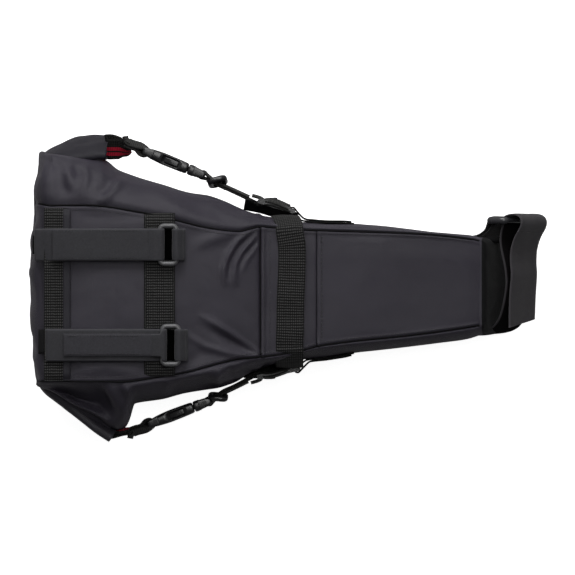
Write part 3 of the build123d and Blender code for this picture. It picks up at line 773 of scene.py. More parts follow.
CREASES_LEFT = [
    (5.0, 1.2, False, [(-173.94, 99.06), (-167.7, 86.58), (-161.46, 70.98)]),
    (3.6, -1.4, False, [(-163.02, 99.06), (-164.58, 85.02), (-163.02, 72.54)]),
    (2.6, 1.5, False, [(-156.78, 97.5), (-155.22, 85.02), (-159.12, 74.1)]),
    (3.0, 2.0, False, [(-152.1, 64.74), (-141.18, 69.42), (-132.6, 78.0), (-127.92, 86.58)]),
    (4.5, -1.7, False, [(-147.42, 70.98), (-140.4, 78.0), (-138.84, 88.14)]),
    (4.5, -0.9, False, [(-177.06, 85.02), (-172.38, 75.66), (-163.02, 70.98)]),
    (6.0, -1.2, False, [(-187.98, 102.18), (-177.06, 86.58), (-175.5, 67.86)]),
    (5.0, -1.2, False, [(-194.22, 105.3), (-177.06, 95.16), (-155.22, 90.48)]),
    (5.5, -1.0, False, [(-83.46, 67.86), (-64.74, 60.06), (-42.9, 52.26)]),
    (4.0, 1.2, False, [(-63.18, 65.52), (-46.02, 56.94), (-28.86, 50.7)]),
    (7.0, 1.0, False, [(-106.86, 75.66), (-89.7, 65.52), (-75.66, 56.94)]),
]
CREASES_RIGHT = [
    (3.6, -2.6, False, [(-151.32, -77.22), (-144.3, -83.46), (-138.06, -91.26)]),
    (3.2, 2.2, False, [(-139.62, -77.22), (-134.94, -85.02), (-131.82, -94.38)]),
    (3.0, -1.6, False, [(-131.82, -77.22), (-127.14, -83.46), (-124.8, -91.26)]),
    (3.0, 1.6, False, [(-127.14, -75.66), (-123.24, -81.9), (-121.68, -88.14)]),
    (2.4, 1.2, False, [(-148.98, -78.78), (-142.74, -86.58), (-141.18, -95.94)]),
    (5.0, -1.0, False, [(-106.86, -75.66), (-86.58, -78.78), (-63.18, -70.98)]),
    (3.0, 1.6, False, [(-53.82, -63.18), (-55.38, -69.42), (-52.26, -77.22)]),
    (2.8, -1.3, False, [(-46.02, -60.06), (-44.46, -66.3), (-41.34, -72.54)]),
    (3.4, 1.0, False, [(-94.38, -72.54), (-92.82, -78.78), (-95.94, -85.02)]),
    (4.5, 1.0, False, [(-75.66, -69.42), (-56.94, -66.3), (-36.66, -58.5)]),
]


def nearest_on_line(point, line):
    """Distance in plan to a line, the side of it (1 or -1) and the place along it (0 to 1)."""
    best = (1e9, 0, 0)
    total = sum((Vector(b) - Vector(a)).length for a, b in zip(line, line[1:]))
    walked = 0
    for a, b in zip(line, line[1:]):
        a, b = Vector(a), Vector(b)
        d = b - a
        t = max(0, min(1, (point - a).dot(d) / d.length_squared))
        distance = (point - (a + d * t)).length
        if distance < best[0]:
            side = 1 if d.x * (point.y - a.y) - d.y * (point.x - a.x) > 0 else -1
            best = (distance, side, (walked + d.length * t) / total)
        walked += d.length
    return best


def crease_sum(table, point):
    total = 0.0
    for width, depth, lipped, line in table:
        low = min(x for x, y in line) - 3 * width
        high = max(x for x, y in line) + 3 * width
        if not low < point.x < high:
            continue
        distance, side, t = nearest_on_line(point, line)
        if distance > 3.2 * width:
            continue
        fade = math.sin(math.pi * min(max(t * 0.92 + 0.04, 0), 1)) ** 0.6
        if lipped:
            spread = width if side < 0 else width * 0.4
        else:
            spread = width * 0.85
        total += 1.7 * depth * fade * bell(distance, spread)
    return total


def lumps(p, size, seed):
    return noise.noise(Vector((p.x / size + seed, p.y / size + seed * 1.3, p.z / size - seed)))


def folds(p, seed):
    """Soft ridged folds, longer along x."""
    a = noise.noise(Vector((p.x / 60 + seed, p.y / 34 - seed, p.z / 34)))
    return 1 - abs(a) * 2.6


def seam_gap(x, j):
    """Distance over the top to the nearer side seam."""
    u = TOP_PLACES[j]
    return min(u, 1 - u) * abs(hermite(SEAM_LEFT, x) - hermite(SEAM_RIGHT, x))


def wall_place(k):
    """0 at the seam, 1 at the base; k counts cells from the left seam."""
    return k / WALL_CELLS if k < WALL_CELLS else 1 - (k - RIGHT_WALL) / WALL_CELLS


def top_relief(p, j):
    x = p.x
    gap = seam_gap(x, j)
    free = ease(0, 9, gap)
    if x < YOKE_REAR:
        relief = free * (0.75 * lumps(p, 42, 3.1) * 2 + 0.35 * lumps(p, 17, 8.7) * 2
                         + 0.22 * folds(p, 5.0))
        relief += crease_sum(CREASES_TOP, Vector((x, p.y)))
    elif x < YOKE_FRONT:
        relief = free * (0.35 * lumps(p, 25, 1.7) * 2)
    else:
        relief = free * (0.55 * lumps(p, 60, 4.4) * 2 + 0.12 * lumps(p, 16, 2.2) * 2)
    # cross seams
    relief += -1.1 * bell(x + 21.3, 0.8) + 0.9 * bell(x + 18.8, 1.9)
    relief += -0.7 * bell(x - 22.6, 0.6) + 0.45 * bell(x - 25.2, 1.6)
    # side seams: a depressed line with a folded lip on the top side
    if x < NOSE_X:
        relief += -1.5 * bell(gap, 0.6) + 0.55 * bell(gap - 2.0, 1.1)
    return relief


def anchor_gathers(p, side, q):
    """Gathers that fan out from a side anchor at the yoke towards the tail."""
    anchor_x, anchor_z = -22.0, 66
    dx, dz = p.x - anchor_x, p.z - anchor_z
    r = math.hypot(dx, dz)
    if not (p.y * side > 0 and q > 0.2 and 4 < r < 75 and dx < 12):
        return 0.0
    return (1.1 * math.cos(math.atan2(dz, -dx) * 9 + side) * bell(r - 26, 24)
            * (1 - ease(0.9, 1, q)))


def wall_relief(p, j):
    k = j - TOP_CELLS
    tail = 1 - ease(-150, -110, p.x)
    amplitude = (1.5 + 1.1 * tail) * (1 - 0.72 * ease(10, 60, p.x))
    if WALL_CELLS <= k < RIGHT_WALL:
        q, free, creases = 0, 0.25, 0
    else:
        q = wall_place(k)
        free = ease(0, 0.16, q) * (1 - ease(0.86, 1, q))
        table = CREASES_LEFT if k < WALL_CELLS else CREASES_RIGHT
        creases = crease_sum(table, Vector((p.x, p.y))) * (1 - ease(0.35, 0.5, q))
    relief = free * amplitude * (0.9 * lumps(p, 46, 6.6) + 0.6 * lumps(p, 20, 9.9)
                                 + 0.35 * folds(p, 11.0))
    relief += creases
    for side in (1, -1):
        relief += anchor_gathers(p, side, q)
    if k == 0:
        relief += -1.5
    elif k in (1, 2) or k > RIGHT_WALL + WALL_CELLS - 3:
        relief += 0.35
    return relief


def relief_at(p, i, j):
    kind, place = KINDS[i]
    if kind == "nose":
        return 0.25 * lumps(p, 22, 5.5) if place < 0.95 else 0.0
    relief = top_relief(p, j) if j < TOP_CELLS else wall_relief(p, j)
    if kind == "tail":
        # fabric gathers where it draws in to the roll
        relief += (place * 1.3 * math.sin(p.y / 5.2 + 2.4 * lumps(p, 30, 2.0))
                   * ease(0.55, 1.0, place))
    return relief


def displaced(grid):
    result = []
    for i, row in enumerate(grid):
        new_row = []
        for j, p in enumerate(row):
            normal = grid_normal(grid, i, j)
            relief = relief_at(p, i, j)
            if p.z < 1.5 and normal.z < -0.5:
                relief = min(relief, 0.0) * 0.4
            new_row.append(p + normal * relief)
        result.append(new_row)
    return result


# ------------------------------------------------------------------ cloth
CLOTH_FRAMES = 15
CLOTH_REACH = 5.0       # limit on how far the cloth may move a point
CLOTH_SETTINGS = dict(
    quality=5, mass=0.25, tension_stiffness=22, compression_stiffness=22, shear_stiffness=8,
    bending_stiffness=0.12, tension_damping=12, compression_damping=12, air_damping=3,
    # blown up softly, and cut a little too big for its seams
    use_pressure=True, uniform_pressure_force=3.0,
    vertex_group_mass="pin", pin_stiffness=2.0,
    vertex_group_shrink="grow", shrink_min=0.0, shrink_max=-0.075)


def pin_weight(p, i, j):
    """How firmly a point is held: along seams, under webbing, on the base and the nose."""
    kind, place = KINDS[i]
    x = p.x
    held = [0.0]
    if kind == "nose":
        held.append(1.0)
    elif kind == "tail":
        held.append(0.25 + 0.75 * ease(0.5, 0.95, place))
    if j < TOP_CELLS:
        held.append(1 - ease(0.5, 4.0, seam_gap(x, j)))
        held.append(0.9 * ease(14, 40, x))
        held.append(0.95 * bell(x - YOKE_REAR, 2.5))
        held.append(0.95 * bell(x - YOKE_FRONT, 2.5))
        under_webbing = -190 < x < -166 or -113 < x < -85 or -9 < x < 14
        under_rail_strap = (21 < p.y < 46 or -57 < p.y < -32) and x < -78
        if under_webbing or under_rail_strap:
            held.append(0.85)
        return max(held)
    k = j - TOP_CELLS
    if WALL_CELLS <= k <= RIGHT_WALL:
        return 1.0
    q = wall_place(k)
    held += [1 - ease(0.02, 0.12, q), ease(0.86, 0.97, q), 0.80 * ease(10, 60, x)]
    if p.y < 0 and x < -120:
        held.append(0.75)
    elif p.y > 0 and x < -150:
        held.append(0.55)
    if x > -12 and 50 < p.z < 78:
        held.append(0.9)
    return max(held)


def settled(grid):
    """The shell after a short simulation as one closed cloth."""
    ring_count = len(grid)
    verts = [p for row in grid for p in row]
    faces = bands(ring_count, RING_CELLS)
    tail_centre, nose_centre = len(verts), len(verts) + 1
    verts += [sum(row, Vector()) / RING_CELLS for row in (grid[0], grid[-1])]
    last = (ring_count - 1) * RING_CELLS
    for j in range(RING_CELLS):
        following = (j + 1) % RING_CELLS
        faces.append((tail_centre, j, following))
        faces.append((last + j, nose_centre, last + following))
    cloth = new_object("shell_cloth", verts, faces)
    pin = cloth.vertex_groups.new(name="pin")
    grow = cloth.vertex_groups.new(name="grow")
    for i, row in enumerate(grid):
        for j, p in enumerate(row):
            weight = pin_weight(p, i, j)
            pin.add([i * RING_CELLS + j], weight, "REPLACE")
            grow.add([i * RING_CELLS + j], 1 - weight, "REPLACE")
    pin.add([tail_centre, nose_centre], 1.0, "REPLACE")
    modifier = cloth.modifiers.new("cloth", "CLOTH")
    for key, value in CLOTH_SETTINGS.items():
        setattr(modifier.settings, key, value)
    modifier.settings.effector_weights.gravity = 0.0
    modifier.collision_settings.use_collision = False
    modifier.collision_settings.use_self_collision = False
    modifier.point_cache.frame_start, modifier.point_cache.frame_end = 1, CLOTH_FRAMES
    scene = bpy.context.scene
    for step in range(1, CLOTH_FRAMES + 1):
        scene.frame_set(step)
    evaluated = cloth.evaluated_get(bpy.context.evaluated_depsgraph_get())
    mesh = evaluated.to_mesh()
    result = []
    for i, row in enumerate(grid):
        new_row = []
        for j, p in enumerate(row):
            move = mesh.vertices[i * RING_CELLS + j].co / MM - p
            length = move.length
            if length > 1e-6:
                move *= CLOTH_REACH * math.tanh(length / CLOTH_REACH) / length
            new_row.append(p + move)
        result.append(new_row)
    evaluated.to_mesh_clear()
    bpy.data.objects.remove(cloth)
    scene.frame_set(1)
    return result


KINDS, RAW_GRID = raw_shell()
GRID = settled(displaced(RAW_GRID))
RING_COUNT = len(GRID)
for row in GRID:
    for p in row:
        p.z = max(p.z, 0.15)

# the nose's end panel takes the near-black fabric, as painted shade
PANELS = {"top_panel": SHELL, "yoke_panel": SHELL, "nose_panel": SHELL,
          "side_panel_left": SHELL, "side_panel_right": SHELL, "bottom_panel": BASE,
          "mouth_sleeve": MOUTH, "nose_end_panel": NOSE}


def cloth_lengths():
    """Arc lengths along and around the grid, the second from the middle of the top."""
    along = [[0.0] * (RING_CELLS + 1) for _ in range(RING_COUNT)]
    around = [[0.0] * (RING_CELLS + 1) for _ in range(RING_COUNT)]
    for i in range(RING_COUNT):
        for j in range(RING_CELLS):
            if i:
                along[i][j] = along[i - 1][j] + (GRID[i][j] - GRID[i - 1][j]).length
            step = (GRID[i][(j + 1) % RING_CELLS] - GRID[i][j]).length
            around[i][j + 1] = around[i][j] + step
        along[i][RING_CELLS] = along[i][0]
        middle = around[i][MIDDLE]
        around[i] = [v - middle for v in around[i]]
    return along, around


def panel_of(i, j):
    """Name of the panel a grid face belongs to."""
    kind, place = KINDS[i]
    next_kind, next_place = KINDS[i + 1]
    top = j < TOP_CELLS
    if kind == "tail" and place > (0.80 if top else 0.60):
        return "mouth_sleeve"
    if next_kind == "nose" and next_place > 0.30:
        return "nose_end_panel"
    if top:
        if kind == "body" and next_kind == "body" and -20.9 <= place < 22.2:
            return "yoke_panel"
        x = 0.5 * (GRID[i][j].x + GRID[i + 1][j].x)
        return "top_panel" if x < 0 else "nose_panel"
    k = j - TOP_CELLS
    if k < WALL_CELLS:
        return "side_panel_left"
    return "bottom_panel" if k < RIGHT_WALL else "side_panel_right"


def build_panel(name, cells, along, around):
    index, verts, uvs, faces = {}, [], [], []

    def vertex(i, j):
        if (i, j) not in index:
            index[i, j] = len(verts)
            verts.append(GRID[i][j % RING_CELLS])
            uvs.append((along[i][j], around[i][j]))
        return index[i, j]

    for i, j in cells:
        faces.append((vertex(i, j), vertex(i + 1, j), vertex(i + 1, j + 1), vertex(i, j + 1)))
    last = RING_COUNT - 1
    centre = len(verts)
    if name == "nose_end_panel":
        verts.append(sum(GRID[last], Vector()) / RING_CELLS)
        uvs.append((along[last][0] + 3, 0))
        faces += [(vertex(last, j), centre, vertex(last, j + 1)) for j in range(RING_CELLS)]
    if name == "mouth_sleeve":
        verts.append(sum(GRID[0], Vector()) / RING_CELLS)
        uvs.append((-5, 0))
        faces += [(centre, vertex(0, j), vertex(0, j + 1)) for j in range(RING_CELLS)]
    panel = new_object("panel_" + name, verts, faces, PANELS[name], uvs)
    smooth = panel.modifiers.new("smooth", "SUBSURF")
    smooth.levels = 1
    smooth.render_levels = 1
    smooth.boundary_smooth = "PRESERVE_CORNERS"
    attach(panel, "bag", "nose_fabric" if name == "nose_end_panel" else "shell_fabric", name)
    return panel


def build_panels():
    cells = {name: [] for name in PANELS}
    for i in range(RING_COUNT - 1):
        for j in range(RING_CELLS):
            cells[panel_of(i, j)].append((i, j))
    lengths = cloth_lengths()
    return {name: build_panel(name, cells[name], *lengths) for name in PANELS}


def surface_z(x, y):
    """Height of the finished top at a plan point."""
    for i in range(RING_COUNT - 1):
        kind, place = KINDS[i]
        if kind == "tail" and place > 0.9:
            continue
        rear, front = GRID[i], GRID[i + 1]
        if not rear[MIDDLE].x <= x <= front[MIDDLE].x:
            continue
        f = (x - rear[MIDDLE].x) / max(front[MIDDLE].x - rear[MIDDLE].x, 1e-6)
        for j in range(TOP_CELLS - 1):
            a = rear[j].lerp(front[j], f)
            b = rear[j + 1].lerp(front[j + 1], f)
            if a.y <= y <= b.y:
                return a.z + (b.z - a.z) * (y - a.y) / max(b.y - a.y, 1e-6)
        right = rear[0].lerp(front[0], f)
        left = rear[TOP_CELLS - 1].lerp(front[TOP_CELLS - 1], f)
        return right.z if y < right.y else left.z
    return hardware_top(x)


panels = build_panels()

# ------------------------------------------------------------------ closure roll
# centre line (x, y, z) from the left ear, round the tail, to the right ear
ROLL_PATH = [
    (-140.0, 110.0, 64), (-150, 110.2, 63.5), (-160, 109.0, 63), (-172, 106.0, 62.5),
    (-182, 103.0, 62), (-187.2, 100.4, 62), (-189.8, 95.0, 62), (-191.6, 75, 62),
    (-194.2, 38, 62), (-195.6, 0, 62), (-194.4, -38, 62), (-192.4, -62, 62),
    (-190.6, -71.0, 62), (-185.6, -78.4, 61), (-172, -87.6, 61), (-152, -101.4, 62),
    (-134.6, -113.4, 63)]
ROLL_LINE = catmull(ROLL_PATH, 1.8)
ROLL_TURNS = 2.35
ROLL_CELLS = 118
ROLL_HALF_CLOTH = 0.45


def roll_spiral():
    """Spiral section (outwards, upwards), its normals and its arc lengths."""
    points = []
    for k in range(ROLL_CELLS + 1):
        angle = ROLL_TURNS * 2 * math.pi * k / ROLL_CELLS + 0.5
        q = k / ROLL_CELLS
        half_thickness, half_height = 1.35 + 4.35 * q, 19.6 + 3.4 * q
        points.append((half_thickness * signed_power(math.cos(angle), 0.72),
                       half_height * signed_power(math.sin(angle), 0.90)))
    normals, lengths = [], [0.0]
    for k in range(ROLL_CELLS + 1):
        a, b = points[max(k - 1, 0)], points[min(k + 1, ROLL_CELLS)]
        t = Vector((b[0] - a[0], b[1] - a[1])).normalized()
        normals.append(Vector((t.y, -t.x)))
    for a, b in zip(points, points[1:]):
        lengths.append(lengths[-1] + math.hypot(b[0] - a[0], b[1] - a[1]))
    return points, normals, lengths


def build_roll():
    walked = [0.0]
    for a, b in zip(ROLL_LINE, ROLL_LINE[1:]):
        walked.append(walked[-1] + (b - a).length)
    spiral, normals, lengths = roll_spiral()
    loop = [(k, ROLL_HALF_CLOTH) for k in range(ROLL_CELLS + 1)]
    loop += [(k, -ROLL_HALF_CLOTH) for k in range(ROLL_CELLS, -1, -1)]
    verts, uvs = [], []
    last = len(ROLL_LINE) - 1
    for i, p in enumerate(ROLL_LINE):
        along = ROLL_LINE[min(i + 1, last)] - ROLL_LINE[max(i - 1, 0)]
        along.z = 0
        along.normalize()
        outward = Vector((-along.y, along.x, 0))
        if outward.dot(Vector((p.x + 120, p.y, 0))) < 0:
            outward = -outward
        s = walked[i]
        from_left, from_right = s, walked[-1] - s
        lean = math.radians(21.0 * (1 - ease(20, 64, from_left))
                            - 16.0 * (1 - ease(6, 80, from_right)))
        squat = 1.0 - 0.06 * (1 - ease(0, 14, from_left)) - 0.10 * (1 - ease(0, 16, from_right))
        pinch = 1.0 + 0.10 * math.sin(s / 17.0) * ease(10, 40, min(from_left, from_right))
        for k, offset in loop:
            across = spiral[k][0] + normals[k].x * offset
            up = spiral[k][1] + normals[k].y * offset
            crumple = 0.9 * noise.noise(Vector((s / 21.0, up / 14.0, 3.3 + k * 0.004)))
            crumple += 0.35 * noise.noise(Vector((s / 7.0, up / 9.0, 9.1)))
            crumple *= 1.0 + 1.1 * (1 - ease(30, 60, from_left))
            across = across * pinch + crumple * (0.6 if abs(across) > 2 else 0.25)
            up = up * squat
            # the layers finish at different places
            inner = 1 - k / ROLL_CELLS
            slide = 0.0
            if from_right < 30:
                slide = (1 - from_right / 30) * (-2.0 - 4.5 * inner + 3.0 * (up / 23.0))
            if from_left < 20:
                slide = (1 - from_left / 20) * (2.2 * inner + 1.2 * (up / 23.0))
            out = across * math.cos(lean) - up * math.sin(lean)
            z = across * math.sin(lean) * 0.6 + up * math.cos(lean)
            verts.append(p + outward * out + Vector((0, 0, z)) + along * slide)
            uvs.append((s, lengths[k]))
    size = len(loop)
    faces = bands(last + 1, size, across_first=True)
    for base, forward in ((0, True), (last * size, False)):
        for k in range(ROLL_CELLS):
            face = (base + k, base + k + 1, base + size - 2 - k, base + size - 1 - k)
            faces.append(face if forward else face[::-1])
    roll = new_object("closure_roll_band", verts, faces, MOUTH, uvs)
    # the left ear takes the darker fabric, as painted shade
    roll.data.materials.append(DARK_SHADE_FABRIC)
    for polygon in roll.data.polygons:
        if polygon.center.y > 88 * MM:
            polygon.material_index = 1
    attach(roll, "bag", "shell_fabric", "closure_roll", "closure_stiffener")


build_roll()
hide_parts("nose_stiffener")
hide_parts("base_stiffener")


# ------------------------------------------------------------------ webbing over the top
def lay_across(name, x_range, y_range, lift, width, material, seed, wobble=0.25):
    """Tape laid over the top from left to right, its ends turned down."""
    rear, front = x_range
    left, right = y_range
    count = 34
    x = 0.5 * (rear + front)
    points = []
    for i in range(count + 1):
        y = left + (right - left) * i / count
        z = max(surface_z(x, y), surface_z(rear + 1.5, y) - 0.2,
                surface_z(front - 1.5, y) - 0.2) + lift
        near_end = 1 - ease(0, 5, min(i, count - i) * abs(left - right) / count)
        points.append(Vector((x, y, z - near_end * 2.0)))
    return tape(name, points, X_AXIS, width, 1.6, material, step=1.2, wobble=wobble, seed=seed)


def build_compression_webbing():
    """Webbing over the yoke and down both walls, rippled where it is pulled tight."""
    middle_x, half_left, half_right = 2.8, 46.5, 49.5
    points = [Vector((middle_x + dx, y, z)) for y, z, dx in
              [(55.4, 79, -5.0), (55.2, 85, -4.4), (53.4, 92.6, -3.2), (50.2, 98.4, -2.0)]]
    for i in range(31):
        y = half_left - (half_left + half_right) * i / 30
        ripple = (0.9 * math.sin(y / 5.4) * bell(y - 34, 16.0)
                  + 0.6 * math.sin(y / 6.1 + 1) * bell(y + 34, 18.0))
        sway = 0.7 * math.sin(y / 17.0)
        points.append(Vector((middle_x + sway - 1.6 * ease(30, 47, y) - 0.9 * ease(-30, -47, y),
                              y, surface_z(middle_x, y) + 1.7 + ripple)))
    points += [Vector((1.6, y, z)) for y, z in
               [(-53.4, 98.2), (-57.2, 92.4), (-60.2, 85), (-61.6, 79)]]
    strap = tape("compression_webbing_tape", points, X_AXIS, 21.5, 1.6, WEBBING, step=1.0,
                 wobble=1.0, seed=5)
    attach(strap, "bag", "webbing", "compression_webbing")


attach(lay_across("cross_webbing_rear_tape", (-188.6, -168.4), (61.5, -72.0), lift=1.0,
                  width=20.5, material=WEBBING, seed=2),
       "bag", "webbing", "cross_webbing_rear")
attach(lay_across("cross_webbing_front_tape", (-111.2, -87.2), (57.5, -68.5), lift=1.0,
                  width=24.0, material=WEBBING, seed=3),
       "bag", "webbing", "cross_webbing_front")
build_compression_webbing()
# strip of fabric lapped along the front edge of the rear webbing, in the darker fabric as a painted
# shadow line
attach(lay_across("webbing_lap_shadow", (-174.0, -168.4), (61.0, -71.8), lift=2.1, width=5.6,
                  material=DARK_SHADE_FABRIC, seed=6, wobble=0.3),
       "bag", "shell_fabric")


# ------------------------------------------------------------------ rail straps and rings
def ring_path(center, long_axis, short_axis, length, short, wire, corner):
    """Closed rounded rectangle along the wire's centre line."""
    half_length, half_short = (length - wire) / 2, (short - wire) / 2
    corner_steps = 6
    corners = []
    for side_long, side_short, start in ((1, 1, 0), (-1, 1, 90), (-1, -1, 180), (1, -1, 270)):
        for k in range(corner_steps + 1):
            a = math.radians(start + 90 * k / corner_steps)
            corners.append(
                center
                + long_axis * (side_long * (half_length - corner) + corner * math.cos(a))
                + short_axis * (side_short * (half_short - corner) + corner * math.sin(a)))
    points = []
    for i, a in enumerate(corners):
        b = corners[(i + 1) % len(corners)]
        count = max(1, int((b - a).length / 2.0))
        points += [a.lerp(b, k / count) for k in range(count)]
    return points


RAIL_WIRE, RAIL_RING_LENGTH, RAIL_RING_SHORT = 3.6, 33.0, 16.4
RAIL_THICK, RAIL_WIDTH = 1.5, 25.0
WIRE_GAP = 0.3
RAIL_TURN = RAIL_WIRE / 2 + WIRE_GAP + RAIL_THICK / 2     # strap's turn round the ring's bar
RAIL_LOOP_TURN = RAIL_WIRE / 2 + WIRE_GAP + 0.7
BAR_OFFSET = 6.4        # from the ring's centre to each of its long bars
TAB_LIFT = 2.15
# y: centre line; ring_x: ring's centre; fold_x: fold at the tail; tab_x: the tab's free end;
# end_*: the short piece of tape behind the fold, in near-black fabric as painted shadow
RAILS = [
    SimpleNamespace(name="left", y=33.2, ring_x=-92.4, fold_x=-195.0, tab_x=-182.0,
                    tab_width=24.6, tab_material=FUZZ, end_shift=0.0, end_reach=(2.6, 1.6),
                    end_width=14.5, width_at=None),
    SimpleNamespace(name="right", y=-44.6, ring_x=-90.5, fold_x=-186.4, tab_x=-173.5,
                    tab_width=17.4, tab_material=FUZZ_NARROW, end_shift=2.6,
                    end_reach=(6.6, 4.0), end_width=19.0,
                    width_at=lambda q: 1.0 - 0.30 * ease(0.918, 0.935, q)),
]


def rail_heights(y):
    """Heights of the strap's sewn layer and of the layer above it, as functions of x."""
    count = 30
    table = []
    for k in range(count):
        x = -200.0 + 4.0 * k
        over_webbing = 2.9 if -196 < x < -160 else 2.0 if -114 < x < -84 else 0.15
        surface = max(surface_z(x, y + dy) for dy in (-11, -5, 0, 5, 11))
        table.append((x, max(hardware_top(x) + 2.4, surface + over_webbing) + RAIL_THICK / 2))
    table = [(x, 0.25 * table[max(i - 1, 0)][1] + 0.5 * z
              + 0.25 * table[min(i + 1, count - 1)][1]) for i, (x, z) in enumerate(table)]

    def low(x):
        return linear(table, x)

    def upper(x):
        return max(hardware_top(x) + 4.3 + RAIL_THICK / 2, low(x) + 1.8)

    return low, upper


def rail_strap(rail, at, low, upper, bar, peel, ring_z):
    """Short end in near-black fabric as painted shadow under the fold, sewn layer, and the run that
    folds back and turns round the ring's bar.
    """
    name, fold = rail.name, rail.fold_x
    far, near = rail.end_reach
    end = [(fold - far, low(fold) - 1.1), (fold - near, low(fold) - 0.3),
           (fold + 3, low(fold) - 0.5), (fold + 9, low(fold + 9) - 0.7)]
    # near-black short end: painted shadow in the gap under the fold
    strap_end = tape("rail_strap_end_shadow_" + name,
                     [Vector((x, rail.y + rail.end_shift, z)) for x, z in end],
                     Y_AXIS, rail.end_width, 1.3, NOSE, step=1.2, wobble=0.3, seed=9)
    attach(strap_end, "bag", "webbing")

    points = [at(x, low(x)) for x in [-116 - 6 * i for i in range(20)] if x > fold + 5]
    points.append(at(fold + 3.0, low(fold + 3)))
    sewn = tape("rail_strap_base_" + name, points, Y_AXIS, RAIL_WIDTH, RAIL_THICK, FUZZ,
                step=2.0, wobble=0.25, seed=11)
    attach(sewn, "bag", "hook_and_loop")

    fold_low, fold_high = low(fold + 3), upper(fold + 3) + 0.5
    points = [at(fold + 3.2, fold_low)]
    for angle in range(0, 181, 30):
        t = math.radians(angle)
        points.append(at(fold + 0.9 - 1.5 * math.sin(t), (fold_low + fold_high) / 2
                         - (fold_high - fold_low) / 2 * math.cos(t)))
    points.append(at(fold + 4.5, upper(fold + 4.5) + 0.45))
    x = fold + 9
    while x < peel:
        points.append(at(x, upper(x) + 0.25 + 0.15 * math.sin(x / 13.0)))
        x += 6
    points.append(at(bar - 5.0, ring_z - RAIL_TURN + 0.05))
    points += [at(x, z) for x, z in arc(bar, ring_z, RAIL_TURN, -90, 90, 12)]
    points.append(at(bar - 3.4, ring_z + RAIL_TURN - 0.25))
    points.append(at(peel + 0.4, upper(peel) + 2.0))
    run = tape("rail_strap_run_" + name, points, Y_AXIS, RAIL_WIDTH, RAIL_THICK, FUZZ, step=1.3,
               wobble=0.2, seed=12, cells=12, width_at=rail.width_at)
    at(bar - 52, ring_z) * MM
    at(bar - 5, ring_z) * MM
    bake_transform(run)
    describe(run, "hook_and_loop", "rail_strap_" + name)


def rail_tab(rail, at, upper, peel):
    """The strap's free end with its inset hook patch and two rows of stitches."""
    name, tab_x = rail.name, rail.tab_x
    points = [at(peel + 1.2, upper(peel) + TAB_LIFT)]
    x = peel - 7
    while x > tab_x + 6:
        points.append(at(x, upper(x) + TAB_LIFT + 0.18 * math.sin(x / 9.0)))
        x -= 7
    points.append(at(tab_x, upper(tab_x) + 2.5))
    tab = tape("rail_strap_tab_tape_" + name, points, Y_AXIS, rail.tab_width, RAIL_THICK,
               rail.tab_material, step=1.6, wobble=0.25, seed=14, cells=12)
    at(peel + 0.5, 0) * MM
    at(peel - 13, 0) * MM
    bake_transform(tab)
    describe(tab, "hook_and_loop", "rail_strap_tab_" + name)

    points = [at(x, upper(x) + TAB_LIFT + RAIL_THICK / 2 + 0.35)
              - Z_AXIS * (RAIL_THICK + 0.45) for x in [tab_x + 8.0 + 3.0 * i for i in range(9)]]
    patch = tape("rail_hook_patch_tape_" + name, points, Y_AXIS, 15.0, 0.7, FUZZ_PATCH, step=1.5,
                 edge=0.6, seed=15)
    attach(patch, "rail_tab_" + name, "hook_tape", "rail_hook_patch_" + name)

    stations = [tab_x + 3 + 2.0 * i for i in range(int((peel - tab_x - 8) / 2))]
    rows = [[(at(x, upper(x) + TAB_LIFT + 0.80)
              + Y_AXIS * side * (rail.tab_width / 2 - 1.7), Z_AXIS)
             for x in stations] for side in (1, -1)]
    sew("rail_tab_stitches_" + name, rows, THREAD_DARK, pitch=2.6, length=1.9, radius=0.19,
        body="rail_tab_" + name)


def rail_ring(rail, at, ring_z):
    """Ring, a near-black tape under its slot as painted shadow, and the anchor loop round its front
    bar.
    """
    name, ring_x = rail.name, rail.ring_x
    path = ring_path(at(ring_x, ring_z), Y_AXIS, X_AXIS, RAIL_RING_LENGTH, RAIL_RING_SHORT,
                     RAIL_WIRE, corner=3.3)
    ring = tube("rail_ring_wire_" + name, path, RAIL_WIRE / 2, RING, sides=16, closed=True)
    attach(ring, "rail_ring_" + name, "ring_plastic", "rail_ring_" + name)

    points = []
    for x in (ring_x - 6.0, ring_x - 2.0, ring_x + 2.0, ring_x + 6.0):
        points.append(at(x, max(surface_z(x, rail.y + dy) for dy in (-9, 0, 9)) + 2.55))
    # near-black tape under the slot: painted shadow
    slot_shadow_tape = tape("rail_slot_backing_" + name, points, Y_AXIS, 24.0, 0.8, SLOT_SHADOW,
                   step=1.5, edge=0.6, seed=16)
    attach(slot_shadow_tape, "bag", "webbing")

    anchor = ring_x + BAR_OFFSET
    foot = hardware_top(anchor + 4) + 3.0
    points = [(anchor + 6.4, foot - 1.3), (anchor + 5.0, foot - 0.7), (anchor + 3.4, foot + 0.2)]
    points += arc(anchor, ring_z, RAIL_LOOP_TURN, 285, 75, 12)
    points += [(anchor + 3.9, ring_z - 0.4), (anchor + 5.2, foot + 1.9),
               (anchor + 6.6, foot + 0.4)]
    loop = tape("rail_ring_loop_tape_" + name, [at(x, z) for x, z in points], Y_AXIS, 24.6, 1.3,
                FUZZ, step=0.9, wobble=0.3, seed=17, cells=12)
    attach(loop, "bag", "webbing", "rail_ring_loop_" + name)
    line = [(Vector((anchor + 5.2, rail.y + dy, foot + 2.7)), Z_AXIS)
            for dy in (-11, -6, 0, 6, 11)]
    sew("rail_loop_stitches_" + name, [line], THREAD_DARK, pitch=2.4, length=1.8, radius=0.2)


def build_rail(rail):
    def at(x, z):
        return Vector((x, rail.y, z))

    ring_z = hardware_top(rail.ring_x) + 7.6
    bar = rail.ring_x - BAR_OFFSET
    peel = bar - 9.0            # where the tab leaves the strap
    low, upper = rail_heights(rail.y)
    rail_strap(rail, at, low, upper, bar, peel, ring_z)
    rail_tab(rail, at, upper, peel)
    rail_ring(rail, at, ring_z)


for rail in RAILS:
    build_rail(rail)

# ------------------------------------------------------------------ side straps and buckles
SIDE_Z = 64.0           # height of the centre line of all side hardware


